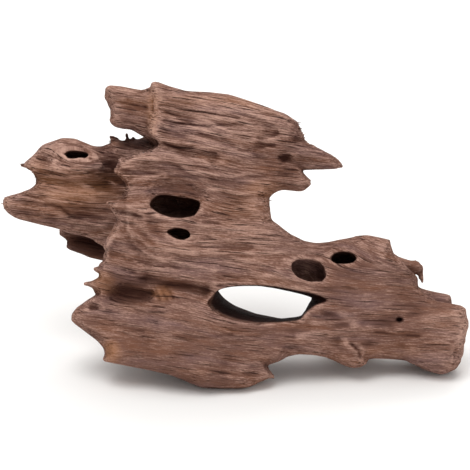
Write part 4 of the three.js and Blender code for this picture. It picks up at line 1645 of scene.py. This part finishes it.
@dataclass(frozen=True)
class Splinters:
    """Broken fibres that stand out of the torn ends, the same few faces over and over.

    Attributes:
        length: Length of the longest in mm.
        thickness: Thickness at the foot in mm.
        density: How many stand on a square centimetre where the wood is fully torn.
        seed: Seed of their places, sizes and turns.
        sides: Number of sides.
        sunk: The share of each that is in the wood, so that its foot never shows.
        lean: What the surface's way out is multiplied by, which turns them towards the grain.
        stray: How far each strays from that.
        smallest: Thickness, thickness and length of the smallest as shares of the largest.
    """

    length: float = 4.2
    thickness: float = 1.3
    density: float = 5.0
    seed: int = 7
    sides: int = 5
    sunk: float = 0.33
    lean: Place = (2.2, 0.6, 0.6)
    stray: float = 0.4
    smallest: Place = (0.5, 0.5, 0.35)

    def tree(self, material: bpy.types.Material) -> bpy.types.NodeTree:
        """Builds the tree that adds them to a skin.

        Args:
            material: What the skin and its splinters are made of.

        Returns:
            The tree, with the sizes as its inputs, in metres.
        """
        tree = bpy.data.node_groups.new("splinters", "GeometryNodeTree")
        tree.interface.new_socket("Geometry", in_out="OUTPUT", socket_type="NodeSocketGeometry")
        tree.interface.new_socket("Geometry", in_out="INPUT", socket_type="NodeSocketGeometry")
        for name in ("Length", "Thickness", "Density"):
            tree.interface.new_socket(name, in_out="INPUT", socket_type="NodeSocketFloat")
        tree.interface.new_socket("Seed", in_out="INPUT", socket_type="NodeSocketInt")
        given = add_node(tree, "NodeGroupInput").outputs

        torn = add_node(
            tree, "GeometryNodeInputNamedAttribute", {"Name": Mark.TORN.value}, data_type="FLOAT"
        )
        density = add_node(
            tree, "ShaderNodeMath", {0: torn.outputs[0], 1: given["Density"]}, operation="MULTIPLY"
        )
        feet = add_node(
            tree,
            "GeometryNodeDistributePointsOnFaces",
            {"Mesh": given["Geometry"], "Density": density.outputs[0], "Seed": given["Seed"]},
        )

        radius = add_node(tree, "ShaderNodeMath", {0: given["Thickness"], 1: 0.5}, operation="MULTIPLY")
        cone = add_node(
            tree,
            "GeometryNodeMeshCone",
            {
                "Vertices": self.sides,
                "Radius Top": 0.0,
                "Radius Bottom": radius.outputs[0],
                "Depth": given["Length"],
            },
        )
        sink = add_node(tree, "ShaderNodeMath", {0: given["Length"], 1: -self.sunk}, operation="MULTIPLY")
        down = add_node(tree, "ShaderNodeCombineXYZ", {"Z": sink.outputs[0]})
        rooted = add_node(
            tree,
            "GeometryNodeTransform",
            {"Geometry": cone.outputs["Mesh"], "Translation": down.outputs[0]},
        )

        along = add_node(
            tree, "ShaderNodeVectorMath", {0: feet.outputs["Normal"], 1: self.lean}, operation="MULTIPLY"
        )
        stray = add_node(
            tree,
            "FunctionNodeRandomValue",
            {"Min": (-self.stray,) * 3, "Max": (self.stray,) * 3, "Seed": given["Seed"]},
            data_type="FLOAT_VECTOR",
        )
        way = add_node(
            tree, "ShaderNodeVectorMath", {0: along.outputs[0], 1: stray.outputs[0]}, operation="ADD"
        )
        turn = add_node(tree, "FunctionNodeAlignRotationToVector", {"Vector": way.outputs[0]}, axis="Z")
        size = add_node(
            tree,
            "FunctionNodeRandomValue",
            {"Min": self.smallest, "Max": (1.0,) * 3, "Seed": given["Seed"]},
            data_type="FLOAT_VECTOR",
        )
        placed = add_node(
            tree,
            "GeometryNodeInstanceOnPoints",
            {
                "Points": feet.outputs["Points"],
                "Instance": rooted.outputs[0],
                "Rotation": turn.outputs[0],
                "Scale": size.outputs[0],
            },
        )

        both = add_node(tree, "GeometryNodeJoinGeometry", {0: placed.outputs[0]})
        tree.links.new(given["Geometry"], both.inputs[0])
        real = add_node(tree, "GeometryNodeRealizeInstances", {0: both.outputs[0]})
        dressed = add_node(
            tree, "GeometryNodeSetMaterial", {"Geometry": real.outputs[0], "Material": material}
        )
        add_node(tree, "NodeGroupOutput", {0: dressed.outputs[0]})
        return tree

    def grow(self, piece: bpy.types.Object, material: bpy.types.Material) -> None:
        """Adds the splinters to a skin, and leaves one plain mesh.

        Args:
            piece: The skin's object, whose mesh is replaced.
            material: What the skin and its splinters are made of.
        """
        tree = self.tree(material)
        values = {
            "Length": self.length * MM,
            "Thickness": self.thickness * MM,
            "Density": self.density / CM**2,
            "Seed": self.seed,
        }
        modifier = piece.modifiers.new("splinters", "NODES")
        modifier.node_group = tree
        for item in tree.interface.items_tree:
            if item.in_out == "INPUT" and item.name in values:
                modifier[item.identifier] = values[item.name]
        depsgraph = bpy.context.evaluated_depsgraph_get()
        plain = bpy.data.meshes.new_from_object(
            piece.evaluated_get(depsgraph), preserve_all_data_layers=True, depsgraph=depsgraph
        )
        piece.modifiers.clear()
        bare = piece.data
        piece.data = plain
        bpy.data.meshes.remove(bare)


@dataclass(frozen=True)
class Marking:
    """Works out the marks of the skin's points; its lengths are in mm.

    Attributes:
        skin: The skin.
        bore_reach: How far round a bore's middle its marks go, on top of its half size.
        bore_wall: How far outside a bore's side its dark has faded out.
        bore_dark: The share of a bore's depth where its dark starts, the span to full dark, and its end.
        bore_fade: The share of its depth over which the dark ends.
        bore_smooth: How much of the roughness a bore takes away.
        rim_width: Width of the painted highlight on the rim under a bore's mouth.
        rim_depth: How far into the bore it goes, as a share of its depth.
        rim_highlight: How pale the painted highlight is, and its least share round a bore with no painted
            shade or grime.
        crack_layer: Middle of the layer over a lobe's first pin where its cracks show, and half that layer.
        crack_dark: Darkness for each mm of a crack, the part of it that doesn't show, and the most.
        torn_from: How far the surface has to face along the grain to be torn, and the span to fully torn.
        torn_rough: The same for how rough it is.
        torn_above: The same for its height over the floor, so that no splinter reaches it.
        edge_rounds: How many rounds of smoothing show edges, for the painted highlights and shade, and the mm
            that count as a full one.
        edge_most: The strongest edge, up or down.
        hollow_shade_rounds: How many rounds show the hollows that get painted shade, and the mm that count as
            a full one.
        hollow_shade_range: The least and the most of a hollow's painted shade.
        window_middle: [u, v] of the window's middle.
        window_half: Half sizes of the wood round it.
        window_back: The w behind which its wall isn't marked.
        window_wall: How far outside the window's rim its dark starts, and the span to full dark.
        window_dark: The w where its dark starts, and the depth to full dark.
    """

    skin: Skin
    bore_reach: float = 7.0
    bore_wall: float = 1.5
    bore_dark: tuple[float, float, float] = (0.02, 0.4, 1.3)
    bore_fade: float = 0.1
    bore_smooth: float = 0.8
    rim_width: float = 1.3
    rim_depth: float = 0.35
    rim_highlight: Point = (0.9, 0.3)
    crack_layer: Point = (12.0, 28.0)
    crack_dark: tuple[float, float, float] = (0.42, 0.1, 0.8)
    torn_from: Point = (0.7, 0.2)
    torn_rough: Point = (0.55, 0.25)
    torn_above: Point = (12.0, 6.0)
    edge_rounds: tuple[int, float] = (4, 0.35)
    edge_most: float = 1.5
    hollow_shade_rounds: tuple[int, float] = (45, 3.0)
    hollow_shade_range: Point = (-0.3, 1.2)
    window_middle: Point = (20.0, 55.0)
    window_half: Point = (60.0, 30.0)
    window_back: float = -50.0
    window_wall: Point = (1.6, 2.4)
    window_dark: Point = (11.0, 7.0)

    def store(self, mesh: bpy.types.Mesh, points: Array, quads: Array) -> None:
        """Gives each point of a mesh the marks that the material reads.

        Args:
            mesh: The skin's mesh.
            points: Its points in the face's frame, in mm.
            quads: Its quads.
        """
        u, v, w = points.T
        tone = total_spread(TONES, u, v, w)
        # Painted shade and grime, starting from the overhangs.
        pit = total_spread(SHADES, u, v, w)
        rough = self.skin.weather.roughness(u, v, w)
        for bore in BORES:
            self.mark_bore(bore, points, tone, pit, rough)
        normal = self.normals(points, quads)
        self.mark_cracks(points, normal, pit)
        # Painted highlights on crests, and painted shade in creases and hollows, from how far the surface
        # stands out or sinks in.
        edge_rounds, edge = self.edge_rounds
        hollow_shade_rounds, hollow_shade = self.hollow_shade_rounds
        stands_out = self.stands_out(points, quads, normal, edge_rounds) / edge
        sinks_in = -self.stands_out(points, quads, normal, hollow_shade_rounds) / hollow_shade
        values = {
            Mark.TONE: tone,
            Mark.OCHRE: total_spread(OCHRES, u, v, w),
            Mark.PIT: np.maximum(pit, self.window_shade_and_dirt(u, v, w)),
            Mark.ROUGH: rough,
            Mark.EDGE: np.clip(stands_out, -self.edge_most, self.edge_most),
            Mark.HOLLOW_SHADE: np.clip(sinks_in, *self.hollow_shade_range),
            Mark.TORN: self.torn(points, normal, rough),
        }
        for mark, value in values.items():
            stored = mesh.attributes.new(mark.value, "FLOAT", "POINT")
            stored.data.foreach_set("value", value.astype(np.float32))
        stored = mesh.attributes.new(Mark.GRAIN.value, "FLOAT_VECTOR", "POINT")
        grain = np.stack([u, self.skin.grain.level(u, v, w), self.skin.bed_at(points)], axis=1)
        stored.data.foreach_set("vector", grain.astype(np.float32).ravel())

    def mark_bore(self, bore: Bore, points: Array, tone: Array, pit: Array, rough: Array) -> None:
        """Paints shade and grime into a bore, smooths its wall and paints a highlight on the rim under its
        mouth, in place.

        Args:
            bore: The bore.
            points: The skin's points in the face's frame.
            tone: Their tone.
            pit: Their painted shade and grime.
            rough: Their roughness.
        """
        u, v, w = points.T
        reach = max(bore.half) + self.bore_reach
        near = np.nonzero(np.hypot(u - bore.mouth[0], v - bore.mouth[1]) < reach)[0]
        side, depth = self.skin.bore_section(bore, u[near], v[near], w[near])
        start, full, end = self.bore_dark
        inside = smooth_step((self.bore_wall - side) / self.bore_wall) * smooth_step((depth - start) / full)
        inside = inside * smooth_step((end - depth) / self.bore_fade)
        # Painted shade and grime inside the bore.
        pit[near] = np.maximum(pit[near], bore.inner_shade_and_dirt * inside)
        rough[near] *= 1 - self.bore_smooth * inside
        # A painted highlight on the rim under the mouth.
        at_mouth = (np.abs(depth) < self.rim_depth) * (v[near] < bore.mouth[1])
        rim = np.exp(-((side / self.rim_width) ** 2)) * at_mouth
        tone[near] += self.rim_highlight[0] * rim * (self.rim_highlight[1] + bore.inner_shade_and_dirt)

    def mark_cracks(self, points: Array, normal: Array, pit: Array) -> None:
        """Darkens the lobes' checks with painted shade and grime, in place.

        Args:
            points: The skin's points in the face's frame.
            normal: The way that each faces.
            pit: Their painted shade and grime.
        """
        u, v, w = points.T
        middle, half = self.crack_layer
        dark, hidden, most = self.crack_dark
        for lobe in LOBES:
            near = np.nonzero(np.abs(w - lobe.pins[0][2] - middle) < half)[0]
            cracks = tuple(stroke for stroke in lobe.fine if stroke.height < 0)
            depth = -self.skin.relief(cracks, u[near], v[near]) * np.clip(normal[near, 2], 0, 1)
            pit[near] = np.maximum(pit[near], np.clip(dark * depth - hidden, 0, most))

    def torn(self, points: Array, normal: Array, rough: Array) -> Array:
        """Finds the torn ends.

        Args:
            points: The skin's points in the face's frame.
            normal: The way that each faces.
            rough: Their roughness.

        Returns:
            How torn the wood is at each, from 0 to 1.
        """
        above_floor = points[:, 1] * math.cos(LEAN) + points[:, 2] * math.sin(LEAN)
        ends, rough_ends, high_ends = (
            smooth_step((value - start) / span)
            for value, (start, span) in (
                (np.abs(normal[:, 0]), self.torn_from),
                (rough, self.torn_rough),
                (above_floor, self.torn_above),
            )
        )
        return ends * rough_ends * high_ends

    def window_shade_and_dirt(self, u: Array, v: Array, w: Array) -> Array:
        """Paints shade and grime on the window's inner wall.

        Args:
            u: The places' u in mm.
            v: Their v.
            w: Their w.

        Returns:
            How dark each place is, from 0 to 1.
        """
        beside = np.abs(u - self.window_middle[0]) < self.window_half[0]
        level_with = np.abs(v - self.window_middle[1]) < self.window_half[1]
        near = np.nonzero(beside & level_with & (w > self.window_back))[0]
        wall, full = self.window_wall
        start, depth = self.window_dark
        inside = smooth_step((inset(WINDOW.rim, u[near], v[near]) + wall) / full)
        inner_shade_and_dirt = np.zeros(len(u))
        inner_shade_and_dirt[near] = inside * smooth_step((start - w[near]) / depth)
        return inner_shade_and_dirt

    @staticmethod
    def normals(points: Array, quads: Array) -> Array:
        """Averages the ways that the quads round each point face.

        Args:
            points: The skin's points.
            quads: Its quads.

        Returns:
            The way that each point's surface faces, one long.
        """
        face = face_ways(points, quads)
        normal = np.stack(
            [sum(np.bincount(quads[:, k], face[:, m], len(points)) for k in range(4)) for m in range(3)],
            axis=1,
        )
        return normal / (np.linalg.norm(normal, axis=1, keepdims=True) + 1e-12)

    @staticmethod
    def stands_out(points: Array, quads: Array, normal: Array, rounds: int) -> Array:
        """Compares the surface with itself smoothed.

        Args:
            points: The skin's points.
            quads: Its quads.
            normal: The way that each point faces.
            rounds: How many times to smooth it.

        Returns:
            How far each point stands out, in mm.
        """
        kept = 0.4  # the share of its own place that a point keeps in each round
        ends = np.concatenate([quads[:, [k, (k + 1) % 4]] for k in range(4)])
        count = np.bincount(ends[:, 0], minlength=len(points))[:, None]
        smooth = points
        for _ in range(rounds):
            total = np.stack(
                [np.bincount(ends[:, 0], smooth[ends[:, 1], k], len(points)) for k in range(3)], axis=1
            )
            smooth = kept * smooth + (1 - kept) * total / count
        return np.einsum("ij,ij->i", points - smooth, normal)


@dataclass
class Driftwood:
    """The wood itself: one closed skin with the marks that its material reads, and its splinters.

    Attributes:
        skin: Its surface.
        splinters: What stands out of its torn ends.
        finish: What it is made of.
        flat_slack: Points this close to the floor, in mm, lie on it.
    """

    skin: Skin
    splinters: Splinters
    finish: DriftwoodFinish
    flat_slack: float = 0.25

    def build(self) -> bpy.types.Object:
        """Builds the wood.

        Returns:
            Its object, dressed and at its place.
        """
        points, quads = self.skin.mesh()
        standing = stand_up(points)
        standing[np.abs(standing[:, 2]) < self.flat_slack * MM, 2] = 0
        if np.einsum("ij,ij->", face_ways(standing, quads), standing[quads].mean(axis=1)) < 0:
            quads = quads[:, ::-1]
        mesh = bpy.data.meshes.new("driftwood skin")
        mesh.vertices.add(len(standing))
        mesh.vertices.foreach_set("co", standing.astype(np.float32).ravel())
        mesh.loops.add(quads.size)
        mesh.loops.foreach_set("vertex_index", quads.astype(np.int32).ravel())
        mesh.polygons.add(len(quads))
        mesh.polygons.foreach_set("loop_start", np.arange(0, quads.size, 4, dtype=np.int32))
        mesh.update(calc_edges=True)
        mesh.validate()
        mesh.shade_smooth()
        Marking(self.skin).store(mesh, points, quads)
        material = self.finish.material()
        mesh.materials.append(material)
        piece = bpy.data.objects.new("driftwood_skin", mesh)
        bpy.context.scene.collection.objects.link(piece)
        self.splinters.grow(piece, material)
        return piece


@dataclass(frozen=True)
class Lamp:
    """A square area light.

    Attributes:
        name: Its name.
        place: Its place in metres.
        size: Length of its side in metres.
        power: Its power in watts.
    """

    name: str
    place: Place
    size: float
    power: float


@dataclass
class Studio:
    """A pale floor, soft lights and the camera that looks square at the wood's face.

    Attributes:
        floor_size: Length of the floor's side in metres.
        floor_colour: Its colour.
        floor_matt: Its roughness.
        lamps: The lights.
        aim: What the lights point at, in metres.
        sky_light: Strength of the light from all round.
        distance: How far away the camera is, in metres.
        frame_width: Width of what it sees at the face, in metres.
        frame_middle: The face's [u, v], in mm, in the middle of the picture.
        sensor: Width of the camera's sensor in mm.
        sight: How far the camera sees, in metres.
    """

    floor_size: float = 9.0
    floor_colour: str = "#f4f3f1"
    floor_matt: float = 0.9
    lamps: tuple[Lamp, ...] = (
        Lamp("key", (-0.45, -0.9, 2.0), 1.3, 26.0),
        Lamp("back", (0.2, 1.7, 1.5), 1.6, 22.0),
        Lamp("fill", (1.3, -1.4, 0.7), 1.6, 6.5),
    )
    aim: Place = (0.0, 0.0, 0.08)
    sky_light: float = 0.7
    distance: float = 3.4
    frame_width: float = PHOTO_SIDE * PIXEL * MM
    frame_middle: Point = (0.0, 98.3)
    sensor: float = 36.0
    sight: float = 50.0

    def build(self) -> None:
        """Builds the floor, the lights and the camera."""
        self.floor()
        self.sky()
        for lamp in self.lamps:
            self.hang(lamp)
        self.camera()

    def floor(self) -> None:
        """Lays a plain floor under the wood."""
        half = self.floor_size / 2
        corners = [(-half, -half, 0), (half, -half, 0), (half, half, 0), (-half, half, 0)]
        mesh = bpy.data.meshes.new("floor")
        mesh.from_pydata(corners, [], [(0, 1, 2, 3)])
        # Coated paper, rolled flat: almost white, with no shine.
        paper = bpy.data.materials.new("matt white paper")
        paper.use_nodes = True
        shader = paper.node_tree.nodes["Principled BSDF"]
        shader.inputs["Base Color"].default_value = hex_colour(self.floor_colour)
        shader.inputs["Roughness"].default_value = self.floor_matt
        mesh.materials.append(paper)
        floor = bpy.data.objects.new("floor", mesh)
        bpy.context.scene.collection.objects.link(floor)

    def sky(self) -> None:
        """Adds even white light from all round."""
        world = bpy.data.worlds.new("soft box")
        world.use_nodes = True
        back = world.node_tree.nodes["Background"]
        back.inputs["Color"].default_value = (1, 1, 1, 1)
        back.inputs["Strength"].default_value = self.sky_light
        bpy.context.scene.world = world

    def hang(self, lamp: Lamp) -> None:
        """Hangs a light where the camera doesn't see it.

        Args:
            lamp: The light.
        """
        data = bpy.data.lights.new(lamp.name, "AREA")
        data.energy = lamp.power
        data.size = lamp.size
        light = bpy.data.objects.new(lamp.name, data)
        light.location = lamp.place
        way = Vector(self.aim) - Vector(lamp.place)
        light.rotation_euler = way.to_track_quat("-Z", "Y").to_euler()
        light.visible_camera = False
        bpy.context.scene.collection.objects.link(light)

    def camera(self) -> None:
        """Sets up a long lens square to the face."""
        data = bpy.data.cameras.new("camera")
        data.sensor_width = self.sensor
        data.lens = self.sensor * self.distance / self.frame_width
        data.clip_end = self.sight
        target = Vector(stand_up(np.array([[*self.frame_middle, 0.0]]))[0])
        right = Vector((1, 0, 0))
        up = Vector((0, math.sin(LEAN), math.cos(LEAN)))
        back = right.cross(up)
        turn = Matrix((right, up, back)).transposed().to_4x4()
        camera = bpy.data.objects.new("camera", data)
        camera.matrix_world = Matrix.Translation(target + back * self.distance) @ turn
        bpy.context.scene.collection.objects.link(camera)
        bpy.context.scene.camera = camera
        bpy.context.scene.view_settings.view_transform = "Standard"


def main() -> None:
    """Builds the wood, then its floor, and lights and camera."""
    logging.basicConfig(level=logging.INFO, format="%(message)s")
    wood = Driftwood(Skin(), Splinters(), DriftwoodFinish()).build()
    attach(wood, "root")
    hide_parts("driftwood")
    log.info("%s: %d points, %d faces", wood.name, len(wood.data.vertices), len(wood.data.polygons))
    Studio().build()
    log.info("floor, lights and camera")
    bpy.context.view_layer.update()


if __name__ == "__main__":
    main()
